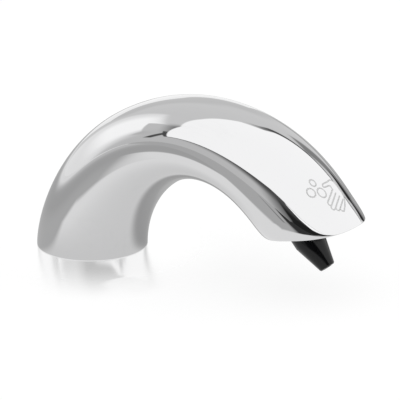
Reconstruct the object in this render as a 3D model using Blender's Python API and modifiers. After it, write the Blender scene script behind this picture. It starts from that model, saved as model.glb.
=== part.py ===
"""Deck-mounted spout of an automatic soap dispenser, built from separate pieces.

The spout stands on a deck at Z = 0 with the centre of its foot at the origin.
It arches over along +X and ends in a slanted tip with a recessed black cover,
a sensor and a tapered nozzle. All lengths are in metres, +Z is up.
"""
import math
from collections import namedtuple

import bmesh
import bpy
from mathutils import Matrix, Vector

MM = 0.001

# Side profile of the spout: handles of the two lines that bound it
FOOT_RADIUS = 26.0 * MM
BACK_LEG_ANGLE = math.radians(90.0)
BACK_LEG_PULL = 22.7 * MM
BACK_SHOULDER = (14.8 * MM, 139.0 * MM)
BACK_BROW = (120.5 * MM, 73.7 * MM)
NOSE = (142.6 * MM, 34.6 * MM)
NOSE_ANGLE = math.radians(-37.0)
NOSE_PULL = 30.5 * MM
INNER_LEG_ANGLE = math.radians(90.5)
INNER_LEG_PULL = 29.1 * MM
INNER_SHOULDER = (49.0 * MM, 49.5 * MM)
INNER_BROW = (78.2 * MM, 52.2 * MM)
HEEL = (101.1 * MM, 26.0 * MM)
HEEL_ANGLE = math.radians(-58.7)
HEEL_PULL = 22.2 * MM

# Half widths that pull the spout's plan shape, and its roundness, foot to tip
HALF_WIDTHS = (FOOT_RADIUS, 25.0 * MM, 24.2 * MM, 26.7 * MM, 29.3 * MM, 22.6 * MM)
ROUNDNESS_SHARES = (2.0, 2.25, 2.56, 2.59)

# Casting
WALL = 2.5 * MM
RINGS = 22
RING_POINTS = 32
OVERRUN = 3.0 * MM
GAP = 0.3 * MM

# Screws
ScrewSize = namedtuple("ScrewSize", "shaft head head_height socket socket_depth")
FRAME_SCREW = ScrewSize(1.25 * MM, 2.4 * MM, 1.2 * MM, 1.0 * MM, 0.7 * MM)
SMALL_SCREW = ScrewSize(0.9 * MM, 1.8 * MM, 1.0 * MM, 0.7 * MM, 0.6 * MM)
SCREW_SIDES = 12
POCKET_SIDES = 18

# Foot plate, its collar and the gasket below it
PLATE_RECESS = 2.0 * MM
PLATE_THICKNESS = 3.0 * MM
PLATE_SIDE_GAP = 0.7 * MM
PASSAGE_RADIUS = 8.0 * MM
COLLAR_WALL = 2.4 * MM
COLLAR_RISE = 7.0 * MM
COLLAR_CHAMFER = 0.8 * MM
GASKET_WIDTH = 9.3 * MM
FOOT_SCREWS = 3
FOOT_SCREW_EDGE = 3.8 * MM
FOOT_SCREW_LENGTH = 9.5 * MM
FOOT_BOSS_RADIUS = 3.0 * MM
FOOT_BOSS_RISE = 10.0 * MM
WEB_STEP = 0.5 * MM
WEB_THICKNESS = 2.6 * MM
HEAD_COVER = 0.1 * MM

# Bracket that carries the two inlets above the passage
SHEET = 1.5 * MM
BRACKET_HALF_WIDTH = 9.5 * MM
BRACKET_FOOT = 6.0 * MM
BRACKET_LEG_HALF_WIDTH = 6.0 * MM
BRACKET_FLARE = 4.5 * MM
BRACKET_RISE = 16.5 * MM
BRACKET_REACH = 18.5 * MM
BRACKET_BEND = 1.0 * MM
BRACKET_SCREW_LENGTH = 4.0 * MM
LINE_SPREAD = 5.0 * MM

# Soap inlet: a barbed fitting held in the bracket by a nut
INLET_BODY_RADIUS = 2.6 * MM
INLET_FLANGE_RADIUS = 4.2 * MM
INLET_FLANGE_HEIGHT = 2.0 * MM
NUT_RADIUS = 4.4 * MM
NUT_HEIGHT = 2.4 * MM
NUT_SIDES = 6
INLET_TAIL = 8.0 * MM
INLET_BORE_RADIUS = 1.0 * MM
BARB_RADIUS = 1.7 * MM
BARB_NECK_RADIUS = 1.4 * MM
BARB_LENGTH = 6.0 * MM
TAIL_BARB_RADIUS = 2.5 * MM
TAIL_NECK_RADIUS = 2.0 * MM
BARBS = 3
BARB_SLOPE_SHARE = 0.8
BARB_FOOT_SHARE = 0.9

# Lead socket: a small three-pin connector beside the soap inlet
SOCKET_SIZE = (5.2 * MM, 6.0 * MM, 9.5 * MM)
SOCKET_FLANGE = (6.8 * MM, 7.6 * MM, 1.6 * MM)
SOCKET_WALL = 0.8 * MM
SOCKET_DEPTH = 6.0 * MM
PINS = 3
PIN_RADIUS = 0.32 * MM
PIN_LENGTH = 4.4 * MM
PIN_PITCH = 1.5 * MM
PIN_SIDES = 8

# Lines along the arch, and the saddle that holds them at the crown
TUBE_RADIUS = 3.0 * MM
TUBE_WALL = 1.0 * MM
LEAD_RADIUS = 1.1 * MM
LINE_POINTS = 10
LINE_BEVEL_STEPS = 2
LINE_STRAIGHT = 6.5 * MM
SADDLE_DROP = 12.0 * MM
SADDLE_SIZE = (8.0 * MM, 22.0 * MM, 8.4 * MM)
SADDLE_CORNER = 0.8 * MM
SADDLE_SPREAD = 6.6 * MM
SADDLE_SCREW_LENGTH = 13.0 * MM
SADDLE_BOSS_RADIUS = 3.2 * MM
LEG_PULL = 24.0 * MM
CROWN_PULL = 24.0 * MM
TIP_PULL = 16.0 * MM

# Tip cover: a black plate recessed in the slanted rim
COVER_RECESS = 2.0 * MM
COVER_THICKNESS = 2.5 * MM
COVER_SIDE_GAP = 0.35 * MM
COVER_START_SHARE = 0.7
COVER_RINGS = 8
COVER_SCREW_BACK = 8.0 * MM
COVER_SCREW_SPREAD = 14.2 * MM
COVER_SCREW_LENGTH = 11.5 * MM
COVER_BOSS_RADIUS = 3.0 * MM
COVER_BOSS_RISE = 9.0 * MM
LEDGE_SIZE = (5.0 * MM, 8.0 * MM, 1.6 * MM)
LEDGE_SPREAD = 19.5 * MM
LEDGE_FORWARD = 4.5 * MM

# Nozzle: a tapered plug that pushes into the holder along a leaning axis
OUTLET = (128.5 * MM, 13.4 * MM)
NOZZLE_LEAN = math.radians(41.0)
OUTLET_RADIUS = 3.7 * MM
OUTLET_CHAMFER = 0.5 * MM
OUTLET_BORE_RADIUS = 2.2 * MM
OUTLET_BORE_DEPTH = 8.0 * MM
THROAT_RADIUS = 1.2 * MM
NOZZLE_RADIUS = 7.2 * MM
TAPER_LENGTH = 14.0 * MM
SHOULDER_HEIGHT = 30.2 * MM
SPIGOT_RADIUS = 5.4 * MM
SPIGOT_LENGTH = 9.0 * MM
SPIGOT_CHAMFER = 0.6 * MM
NOZZLE_SIDES = 28
SEAL_GROOVE_DEPTH = 1.5 * MM
SEAL_GAP = 0.2 * MM
SEAL_LIFT = 3.4 * MM
SEAL_SIDES = 8

# Check valve inside the nozzle
BALL_RADIUS = 2.0 * MM
VALVE_BORE_RADIUS = 2.6 * MM
SEAT_HOLE_RADIUS = 1.2 * MM
SEAT_THICKNESS = 2.2 * MM
BALL_GAP = 0.15 * MM
SPRING_RADIUS = 1.5 * MM
SPRING_WIRE = 0.22 * MM
SPRING_LENGTH = 6.4 * MM
SPRING_TURNS = 6
SPRING_TURN_POINTS = 8
SPRING_BEVEL_STEPS = 1
BALL_ROWS = 8

# Nozzle holder: the socket that the nozzle pushes into
HOLDER_RADIUS = 8.4 * MM
HOLDER_ROOF = 2.8 * MM
HOLDER_CONE = 4.0 * MM
HOLDER_NECK_RADIUS = 4.0 * MM
HOLDER_EAR_THICKNESS = 2.4 * MM
HOLDER_EAR_HALF_WIDTH = 3.4 * MM
HOLDER_EAR_CORNER = 3.0 * MM

# Sensor behind its window in the tip cover
WINDOW_SIZE = (8.4 * MM, 18.4 * MM, 1.4 * MM)
WINDOW_FORWARD = 5.6 * MM
WINDOW_CORNER = 1.6 * MM
WINDOW_LEDGE = 1.2 * MM
SENSOR_FORWARD = 12.6 * MM
SENSOR_DEPTH = 6.0 * MM
SENSOR_WIDTH = 19.0 * MM
SENSOR_HEADROOM = 4.0 * MM
SENSOR_CUP_DEPTH = 5.4 * MM
SENSOR_WALL = 0.9 * MM
SENSOR_CAP = 1.6 * MM
SENSOR_EAR_DEPTH = 5.0 * MM
SENSOR_EAR_EDGE = 2.3 * MM
SENSOR_EAR_THICKNESS = 1.5 * MM
SENSOR_EAR_CORNER = 2.0 * MM
SENSOR_SCREW_GAP = 0.9 * MM
SENSOR_SCREW_LENGTH = 4.5 * MM
SENSOR_POST_RADIUS = 2.0 * MM
SENSOR_POST_RISE = 2.4 * MM
BOARD_THICKNESS = 1.0 * MM
EYE_RADIUS = 1.5 * MM
EYE_FLANGE_RADIUS = 1.75 * MM
EYE_FLANGE_HEIGHT = 0.8 * MM
EYE_LENGTH = 6.4 * MM
EYE_STANDOFF = 1.7 * MM
EYE_SPREAD = 4.6 * MM
EYE_SIDES = 12
DOME_POINTS = 3
LEAD_SIDE = 4.0 * MM

# Roundness of turned pieces, and limits of the mesh tools
ROUND_SIDES = 36
FITTING_SIDES = 18
SHARP_ANGLE = math.radians(35.0)
MERGE = 0.01 * MM
HALVINGS = 40
CORNER_STEPS = 3
BLOCK_BEVEL_STEPS = 2

# Levels and places that follow from the sizes
PLATE_TOP = PLATE_RECESS + PLATE_THICKNESS
PLATE_RADIUS = FOOT_RADIUS - WALL - PLATE_SIDE_GAP
FOOT_SCREW_CIRCLE = PLATE_RADIUS - FOOT_SCREW_EDGE
COLLAR_RADIUS = PASSAGE_RADIUS + COLLAR_WALL
BRACKET_LOW = PLATE_TOP + GAP
SHELF_TOP = BRACKET_LOW + BRACKET_RISE
SHELF_LOW = SHELF_TOP - SHEET
FLANGE_TOP = SHELF_TOP + GAP + INLET_FLANGE_HEIGHT
SOCKET_TOP = SHELF_TOP + GAP + SOCKET_FLANGE[2]
UPRIGHT_BACK = COLLAR_RADIUS + GAP
HEAD_SEAT = HEAD_COVER + FRAME_SCREW.head_height
COVER_TOP = COVER_RECESS + COVER_THICKNESS
EAR_TOP = COVER_TOP + GAP + HOLDER_EAR_THICKNESS
SENSOR_EAR_LOW = COVER_TOP + SENSOR_POST_RISE + GAP
SENSOR_SCREW_SPREAD = SENSOR_WIDTH / 2 + SENSOR_SCREW_GAP + SMALL_SCREW.head
SPIGOT_TOP = SHOULDER_HEIGHT + SPIGOT_LENGTH
HOLDER_SHOULDER = SPIGOT_TOP + HOLDER_ROOF
HOLDER_TOP = HOLDER_SHOULDER + HOLDER_CONE
SEAT_LOW = SPIGOT_TOP - SEAT_THICKNESS
BALL_HEIGHT = SEAT_LOW - math.sqrt(BALL_RADIUS**2 - SEAT_HOLE_RADIUS**2) - BALL_GAP
SPRING_HIGH = BALL_HEIGHT - BALL_RADIUS
SPRING_LOW = SPRING_HIGH - SPRING_LENGTH
RIM_TILT = math.atan2(NOSE[1] - HEEL[1], NOSE[0] - HEEL[0])
RIM_LENGTH = math.hypot(NOSE[0] - HEEL[0], NOSE[1] - HEEL[1])
RIM_CENTRE = ((NOSE[0] + HEEL[0]) / 2, 0.0, (NOSE[1] + HEEL[1]) / 2)
SIDES = (("left", 1.0), ("right", -1.0))

# Finishes: colour, roughness, metallic
CHROME = ("polished_chrome", (0.80, 0.80, 0.81), 0.06, 1.0)
STEEL = ("stainless_steel", (0.62, 0.62, 0.60), 0.30, 1.0)
BRASS = ("nickel_brass", (0.66, 0.62, 0.52), 0.28, 1.0)
BLACK_GLOSS = ("gloss_black_moulding", (0.012, 0.012, 0.013), 0.12, 0.0)
BLACK_SATIN = ("satin_black_moulding", (0.020, 0.020, 0.022), 0.42, 0.0)
WINDOW_DARK = ("infrared_window", (0.030, 0.004, 0.010), 0.05, 0.0)
RUBBER = ("black_rubber", (0.025, 0.025, 0.026), 0.75, 0.0)
NATURAL = ("natural_moulding", (0.72, 0.72, 0.68), 0.40, 0.0)
CLEAR_TUBE = ("clear_tube", (0.78, 0.80, 0.80), 0.20, 0.0)
LEAD_GREY = ("grey_lead", (0.16, 0.16, 0.17), 0.55, 0.0)
BOARD_GREEN = ("circuit_board", (0.02, 0.16, 0.07), 0.45, 0.0)
EYE_CLEAR = ("clear_lens", (0.55, 0.58, 0.66), 0.10, 0.0)
EYE_DARK = ("dark_lens", (0.03, 0.02, 0.05), 0.10, 0.0)


# Scene helpers
def clear_scene():
    """Remove every object that the file opened with."""
    for item in list(bpy.data.objects):
        bpy.data.objects.remove(item)


def add_collection(name):
    """Make a collection and link it to the scene."""
    group = bpy.data.collections.new(name)
    bpy.context.scene.collection.children.link(group)
    return group


def finish_material(finish):
    """Return the Principled material of a finish, made once."""
    name, colour, roughness, metallic = finish
    found = bpy.data.materials.get(name)
    if found:
        return found
    material = bpy.data.materials.new(name)
    material.use_nodes = True
    shader = material.node_tree.nodes["Principled BSDF"]
    shader.inputs["Base Color"].default_value = (*colour, 1.0)
    shader.inputs["Roughness"].default_value = roughness
    shader.inputs["Metallic"].default_value = metallic
    material.diffuse_color = (*colour, 1.0)
    return material


def add_frame(name, place, turn):
    """Add an empty that carries the pieces of one slanted frame."""
    frame = bpy.data.objects.new(name, None)
    frame.empty_display_size = FOOT_RADIUS
    frame.location = place
    frame.rotation_euler = (0.0, turn, 0.0)
    PIECES.objects.link(frame)
    return frame


def add_object(name, data, finish, frame, place=(0.0, 0.0, 0.0)):
    """Link a piece, or a cutter when it has no finish, under its frame."""
    item = bpy.data.objects.new(name, data)
    item.parent = frame
    item.location = place
    if finish is None:
        CUTTERS.objects.link(item)
        item.hide_render = True
        item.display_type = "WIRE"
    else:
        PIECES.objects.link(item)
        item.data.materials.append(finish_material(finish))
    return item


def smooth(item):
    """Shade a round piece smooth, with its hard edges kept sharp."""
    item.data.shade_smooth()
    item.data.set_sharp_from_angle(angle=SHARP_ANGLE)


def combine(item, other, operation):
    """Join, cut or trim a piece with another shape."""
    step = item.modifiers.new(other.name, "BOOLEAN")
    step.operation = operation
    step.solver = "EXACT"
    step.object = other
    return step


def cut(item, *cutters):
    """Cut shapes out of a piece."""
    for cutter in cutters:
        combine(item, cutter, "DIFFERENCE")


def join(item, *others):
    """Make shapes part of a piece."""
    for other in others:
        combine(item, other, "UNION")


# Shape helpers
def block(name, size, place, frame, finish=None, corner=0.0):
    """A box centred on its place, with its upright edges rounded by corner."""
    shape = bmesh.new()
    bmesh.ops.create_cube(shape, size=1.0)
    bmesh.ops.scale(shape, vec=size, verts=shape.verts)
    if corner:
        upright = [edge for edge in shape.edges if is_upright(edge)]
        round_edges(shape, upright, corner)
    mesh = bpy.data.meshes.new(name)
    shape.to_mesh(mesh)
    shape.free()
    return add_object(name, mesh, finish, frame, place)


def round_edges(shape, edges, radius):
    """Round edges of a shape, or bends of a sheet, to a radius."""
    bmesh.ops.bevel(shape, geom=edges, offset=radius, segments=CORNER_STEPS, profile=0.5, affect="EDGES")


def is_upright(edge):
    """True where an edge of a box runs along its own Z."""
    low, high = (point.co for point in edge.verts)
    return low.x == high.x and low.y == high.y


def turned(name, outline, frame, finish=None, place=(0.0, 0.0, 0.0), sides=ROUND_SIDES, closed=False):
    """A piece turned about its own Z from an outline of radius and height.

    The outline runs down the outer side. A closed outline goes on up the
    bore, and an open one starts and ends on the axis.
    """
    mesh = bpy.data.meshes.new(name)
    points = [(radius, 0.0, height) for radius, height in outline]
    edges = [(index, index + 1) for index in range(len(points) - 1)]
    if closed:
        edges.append((len(points) - 1, 0))
    mesh.from_pydata(points, edges, [])
    item = add_object(name, mesh, finish, frame, place)
    turn = item.modifiers.new("turn", "SCREW")
    turn.steps = sides
    turn.render_steps = sides
    turn.use_merge_vertices = True
    turn.merge_threshold = MERGE
    turn.use_smooth_shade = True
    return item


def cylinder(name, radius, low, high, frame, finish=None, place=(0.0, 0.0, 0.0), sides=ROUND_SIDES):
    """A solid cylinder about its frame's Z, from low to high."""
    shape = bmesh.new()
    lift = Matrix.Translation((0.0, 0.0, (low + high) / 2))
    bmesh.ops.create_cone(
        shape, cap_ends=True, segments=sides, radius1=radius, radius2=radius, depth=high - low, matrix=lift
    )
    mesh = bpy.data.meshes.new(name)
    shape.to_mesh(mesh)
    shape.free()
    return add_object(name, mesh, finish, frame, place)


def curve_tube(name, points, radius, frame, finish, steps=LINE_BEVEL_STEPS, capped=True):
    """A round tube along a list of points."""
    curve = bpy.data.curves.new(name, "CURVE")
    curve.dimensions = "3D"
    curve.bevel_depth = radius
    curve.bevel_resolution = steps
    curve.use_fill_caps = capped
    line = curve.splines.new("POLY")
    line.points.add(len(points) - 1)
    for knot, point in zip(line.points, points):
        knot.co = (*point, 1.0)
    return add_object(name, curve, finish, frame)


def bezier(controls, share):
    """The point, or number, at a share of the way along a Bezier curve."""
    last = len(controls) - 1
    total = controls[0] * 0.0
    for index, control in enumerate(controls):
        weight = math.comb(last, index) * share**index * (1.0 - share) ** (last - index)
        total = total + control * weight
    return total


def bezier_slope(controls, share):
    """The unit direction of a Bezier curve at a share of the way along it."""
    steps = [later - earlier for earlier, later in zip(controls, controls[1:])]
    return bezier(steps, share).normalized()


# Spout surface
def leaning(start, angle, pull):
    """The point that lies a pull away from start, at an angle in the side view."""
    return Vector(start) + Vector((math.cos(angle), math.sin(angle))) * pull


def back_line():
    """Handles of the line up the back, over the crown and down to the nose."""
    foot = (-FOOT_RADIUS, 0.0)
    leg = leaning(foot, BACK_LEG_ANGLE, BACK_LEG_PULL)
    tip = leaning(NOSE, NOSE_ANGLE, -NOSE_PULL)
    return [Vector(foot), leg, Vector(BACK_SHOULDER), Vector(BACK_BROW), tip, Vector(NOSE)]


def inner_line():
    """Handles of the line up the front of the leg and under the arch."""
    foot = (FOOT_RADIUS, 0.0)
    leg = leaning(foot, INNER_LEG_ANGLE, INNER_LEG_PULL)
    tip = leaning(HEEL, HEEL_ANGLE, -HEEL_PULL)
    return [Vector(foot), leg, Vector(INNER_SHOULDER), Vector(INNER_BROW), tip, Vector(HEEL)]


def section_ends(share, inset=0.0):
    """Top and underside of one section in the side view, moved in by inset."""
    top = bezier(back_line(), share)
    under = bezier(inner_line(), share)
    top_way = bezier_slope(back_line(), share)
    under_way = bezier_slope(inner_line(), share)
    top += Vector((top_way.y, -top_way.x)) * inset
    under += Vector((-under_way.y, under_way.x)) * inset
    return top, under


def ring(top, under, half_width, roundness):
    """The points of one section, a rounded outline between top and underside."""
    centre = (top + under) / 2
    half = (top - under) / 2
    points = []
    for index in range(RING_POINTS):
        angle = math.tau * index / RING_POINTS
        up = math.copysign(abs(math.cos(angle)) ** (2.0 / roundness), math.cos(angle))
        side = math.copysign(abs(math.sin(angle)) ** (2.0 / roundness), math.sin(angle))
        spot = centre + half * up
        points.append(Vector((spot.x, half_width * side, spot.y)))
    return points


def stations(first_share, count):
    """Shares along the spout to its tip, each with its overrun: none lies in the deck or in the rim."""
    step = (1.0 - first_share) / (count - 1)
    shares = [first_share + step * index for index in range(1, count - 1)]
    start = [(0.0, -OVERRUN), (0.0, -GAP)] if first_share == 0.0 else [(first_share, 0.0)]
    return start + [(share, 0.0) for share in shares] + [(1.0, GAP), (1.0, OVERRUN)]


def spout_rings(first_share, count, inset):
    """Sections from a share of the way along to the tip, run past the deck and past the rim."""
    rings = []
    for share, past in stations(first_share, count):
        top, under = section_ends(share, inset)
        top += bezier_slope(back_line(), share) * past
        under += bezier_slope(inner_line(), share) * past
        half_width = bezier(HALF_WIDTHS, share) - inset
        rings.append(ring(top, under, half_width, bezier(ROUNDNESS_SHARES, share)))
    return rings


def loft(name, rings, finish=None, capped=False):
    """A surface through rings of points, with its faces pointing out."""
    shape = bmesh.new()
    rows = [[shape.verts.new(point) for point in points] for points in rings]
    for low, high in zip(rows, rows[1:]):
        for index in range(RING_POINTS):
            after = (index + 1) % RING_POINTS
            shape.faces.new((low[index], high[index], high[after], low[after]))
    if capped:
        shape.faces.new(rows[0])
        shape.faces.new(reversed(rows[-1]))
    mesh = bpy.data.meshes.new(name)
    shape.to_mesh(mesh)
    shape.free()
    return add_object(name, mesh, finish, None)


# Places in the slanted frames
def nozzle_height(forward, rise):
    """Height up the nozzle's axis, at a distance forward of it, that lies at a rise above the rim."""
    lean = NOZZLE_LEAN - RIM_TILT
    across = OUTLET[0] - RIM_CENTRE[0]
    down = OUTLET[1] - RIM_CENTRE[2]
    drop = across * math.sin(RIM_TILT) - down * math.cos(RIM_TILT)
    return (rise + drop - forward * math.sin(lean)) / math.cos(lean)


def rim_forward(forward, rise):
    """Place along the rim's X of a point that is forward of the nozzle's axis, at a rise above the rim."""
    lean = NOZZLE_LEAN - RIM_TILT
    across = OUTLET[0] - RIM_CENTRE[0]
    down = OUTLET[1] - RIM_CENTRE[2]
    start = across * math.cos(RIM_TILT) + down * math.sin(RIM_TILT)
    return start + forward * math.cos(lean) - nozzle_height(forward, rise) * math.sin(lean)


def board_height():
    """Height of the sensor's board up the nozzle's axis: the eyes end just above the cover."""
    return nozzle_height(SENSOR_FORWARD, COVER_TOP) + EYE_STANDOFF + EYE_LENGTH + GAP


def sensor_top():
    """Height of the sensor housing's open end, above its board."""
    return board_height() + BOARD_THICKNESS + SENSOR_HEADROOM


def nozzle_point(forward, side, height):
    """World place of a point given in the nozzle's frame."""
    x = OUTLET[0] + forward * math.cos(NOZZLE_LEAN) - height * math.sin(NOZZLE_LEAN)
    z = OUTLET[1] + forward * math.sin(NOZZLE_LEAN) + height * math.cos(NOZZLE_LEAN)
    return Vector((x, side, z))


def crown_share():
    """Share of the way along at which the back line is level."""
    low, high = 0.0, 1.0
    for _ in range(HALVINGS):
        middle = (low + high) / 2
        if bezier_slope(back_line(), middle).y > 0.0:
            low = middle
        else:
            high = middle
    return (low + high) / 2


def saddle_centre():
    """Middle of the saddle that hangs under the crown."""
    top = section_ends(crown_share(), WALL)[0]
    return Vector((top.x, 0.0, top.y - SADDLE_DROP))


# Casting of the spout
def foot_places():
    """Middle and direction of each foot screw on its circle."""
    turns = [math.tau * index / FOOT_SCREWS for index in range(FOOT_SCREWS)]
    return [(FOOT_SCREW_CIRCLE * math.cos(turn), FOOT_SCREW_CIRCLE * math.sin(turn), turn) for turn in turns]


def trim_to_wall(web):
    """End an inner web inside the thickness of the casting's wall."""
    combine(web, WALL_MIDDLE, "INTERSECT")
    return web


def foot_boss(index, place):
    """A screw boss inside the foot, with a web back to the wall."""
    x, y, turn = place
    low = PLATE_TOP + GAP
    high = low + FOOT_BOSS_RISE
    boss = cylinder(f"foot_boss_{index}", FOOT_BOSS_RADIUS, low, high, None, None, (x, y, 0.0), SCREW_SIDES)
    reach = FOOT_RADIUS - FOOT_SCREW_CIRCLE
    middle = FOOT_SCREW_CIRCLE + reach / 2
    spot = (middle * math.cos(turn), middle * math.sin(turn), (low + high) / 2)
    web = block(f"foot_web_{index}", (reach, WEB_THICKNESS, high - low - 2 * WEB_STEP), spot, None)
    web.rotation_euler = (0.0, 0.0, turn)
    end = PLATE_RECESS + HEAD_SEAT + FOOT_SCREW_LENGTH + GAP
    hole = screw_hole(f"foot_hole_{index}", FRAME_SCREW, end, None, (x, y, 0.0))
    return boss, trim_to_wall(web), hole


def cover_boss(name, side):
    """A screw boss above the tip cover, with a web out to the side wall."""
    low = EAR_TOP + GAP
    high = low + COVER_BOSS_RISE
    spot = (-COVER_SCREW_BACK, side * COVER_SCREW_SPREAD, 0.0)
    boss = cylinder(f"{name}_boss", COVER_BOSS_RADIUS, low, high, RIM, None, spot, SCREW_SIDES)
    reach = 2 * (max(HALF_WIDTHS) - COVER_SCREW_SPREAD)
    middle = side * (COVER_SCREW_SPREAD + reach / 2)
    size = (WEB_THICKNESS, reach, high - low - 2 * WEB_STEP)
    web = block(f"{name}_web", size, (-COVER_SCREW_BACK, middle, (low + high) / 2), RIM)
    end = COVER_RECESS + HEAD_SEAT + COVER_SCREW_LENGTH + GAP
    hole = screw_hole(f"{name}_hole", FRAME_SCREW, end, RIM, spot)
    return boss, trim_to_wall(web), hole


def cover_ledge(name, side):
    """A small shelf on the side wall that the front of the cover bears on."""
    low = COVER_TOP + GAP
    spot = (LEDGE_FORWARD, side * LEDGE_SPREAD, low + LEDGE_SIZE[2] / 2)
    return trim_to_wall(block(name, LEDGE_SIZE, spot, RIM))


def saddle_boss():
    """A post that hangs from the crown and takes the saddle's screw."""
    centre = saddle_centre()
    low = centre.z + SADDLE_SIZE[2] / 2 + GAP
    high = centre.z + SADDLE_DROP + WALL / 2
    spot = (centre.x, 0.0, 0.0)
    boss = cylinder("saddle_boss", SADDLE_BOSS_RADIUS, low, high, None, None, spot, SCREW_SIDES)
    end = centre.z - SADDLE_SIZE[2] / 2 - GAP + SADDLE_SCREW_LENGTH + GAP
    return boss, screw_hole("saddle_boss_hole", SMALL_SCREW, end, None, spot, low - OVERRUN)


def build_spout_shell():
    """The hollow casting, trimmed flat on the deck and at the slanted rim."""
    shell = loft("spout_shell", spout_rings(0.0, RINGS, 0.0), CHROME)
    wall = shell.modifiers.new("wall", "SOLIDIFY")
    wall.thickness = WALL
    wall.offset = -1.0
    wall.use_even_offset = True
    wide = 4 * FOOT_RADIUS
    deep = 4 * OVERRUN
    cut(shell, block("deck_cutter", (wide, wide, deep), (0.0, 0.0, -deep / 2), None))
    cut(shell, block("rim_cutter", (RIM_LENGTH + deep, wide, deep), (0.0, 0.0, -deep / 2), RIM))
    for index, place in enumerate(foot_places(), 1):
        boss, web, hole = foot_boss(index, place)
        join(shell, boss, web)
        cut(shell, hole)
    for name, side in SIDES:
        boss, web, hole = cover_boss(f"cover_{name}", side)
        join(shell, boss, web, cover_ledge(f"ledge_{name}", side))
        cut(shell, hole)
    boss, hole = saddle_boss()
    join(shell, boss)
    cut(shell, hole)
    smooth(shell)


# Screws
def screw(name, size, length, frame, place, head_up=False):
    """A pan-head screw whose head bears on its place; its shaft goes up, or down under a head on top."""
    bevel = size.shaft / 2
    outline = [(0.0, length), (size.shaft - bevel, length), (size.shaft, length - bevel), (size.shaft, 0.0)]
    outline += [(size.head, 0.0), (size.head, -size.head_height + bevel)]
    outline += [(size.head - bevel, -size.head_height), (0.0, -size.head_height)]
    item = turned(name, outline, frame, STEEL, place, SCREW_SIDES)
    low = -size.head_height - GAP
    high = -size.head_height + size.socket_depth
    socket = cylinder(f"{name}_socket", size.socket, low, high, frame, None, place, NUT_SIDES)
    if head_up:
        item.rotation_euler = (math.pi, 0.0, 0.0)
        socket.rotation_euler = (math.pi, 0.0, 0.0)
    cut(item, socket)
    return item


def screw_hole(name, size, end, frame, place, start=-OVERRUN):
    """A cutter for the clearance hole round a screw's shaft."""
    return cylinder(name, size.shaft + GAP, start, end, frame, None, place, SCREW_SIDES)


def head_pocket(name, size, recess, frame, place):
    """A cutter for the pocket that a screw's head sinks into from below."""
    floor = recess + HEAD_COVER + size.head_height + GAP
    return cylinder(name, size.head + GAP, -OVERRUN, floor, frame, None, place, POCKET_SIDES)


# Foot
def build_deck_gasket():
    """Flat ring between the foot plate and the deck."""
    inner = PLATE_RADIUS - GASKET_WIDTH
    high = PLATE_RECESS - GAP
    outline = [(PLATE_RADIUS, high), (PLATE_RADIUS, 0.0), (inner, 0.0), (inner, high)]
    turned("deck_gasket", outline, None, RUBBER, closed=True)


def build_base_plate():
    """Plate that closes the foot, with the collar that a hollow shank screws into."""
    rim = COLLAR_RADIUS - COLLAR_CHAMFER
    top = PLATE_TOP + COLLAR_RISE
    mouth = PASSAGE_RADIUS + COLLAR_CHAMFER
    outline = [(rim, top), (COLLAR_RADIUS, top - COLLAR_CHAMFER), (COLLAR_RADIUS, PLATE_TOP)]
    outline += [(PLATE_RADIUS, PLATE_TOP), (PLATE_RADIUS, PLATE_RECESS), (mouth, PLATE_RECESS)]
    outline += [(PASSAGE_RADIUS, PLATE_RECESS + COLLAR_CHAMFER), (PASSAGE_RADIUS, top)]
    plate = turned("base_plate", outline, None, BRASS, closed=True)
    for index, (x, y, _) in enumerate(foot_places(), 1):
        spot = (x, y, 0.0)
        cut(plate, screw_hole(f"plate_hole_{index}", FRAME_SCREW, PLATE_TOP + OVERRUN, None, spot))
        cut(plate, head_pocket(f"plate_pocket_{index}", FRAME_SCREW, PLATE_RECESS, None, spot))
        seat = PLATE_RECESS + HEAD_SEAT
        screw(f"base_screw_{index}", FRAME_SCREW, FOOT_SCREW_LENGTH, None, (x, y, seat))
    seat = bracket_screw_place()
    end = seat.z - BRACKET_SCREW_LENGTH - GAP
    place = (seat.x, 0.0, 0.0)
    cut(plate, screw_hole("bracket_screw_hole", SMALL_SCREW, seat.z, None, place, end))
    smooth(plate)


# Bracket and inlets
def bracket_screw_place():
    """Where the bracket's screw head bears on the bracket's foot."""
    x = -UPRIGHT_BACK - (BRACKET_FOOT + SHEET) / 2
    return Vector((x, 0.0, BRACKET_LOW + SHEET + GAP))


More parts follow.
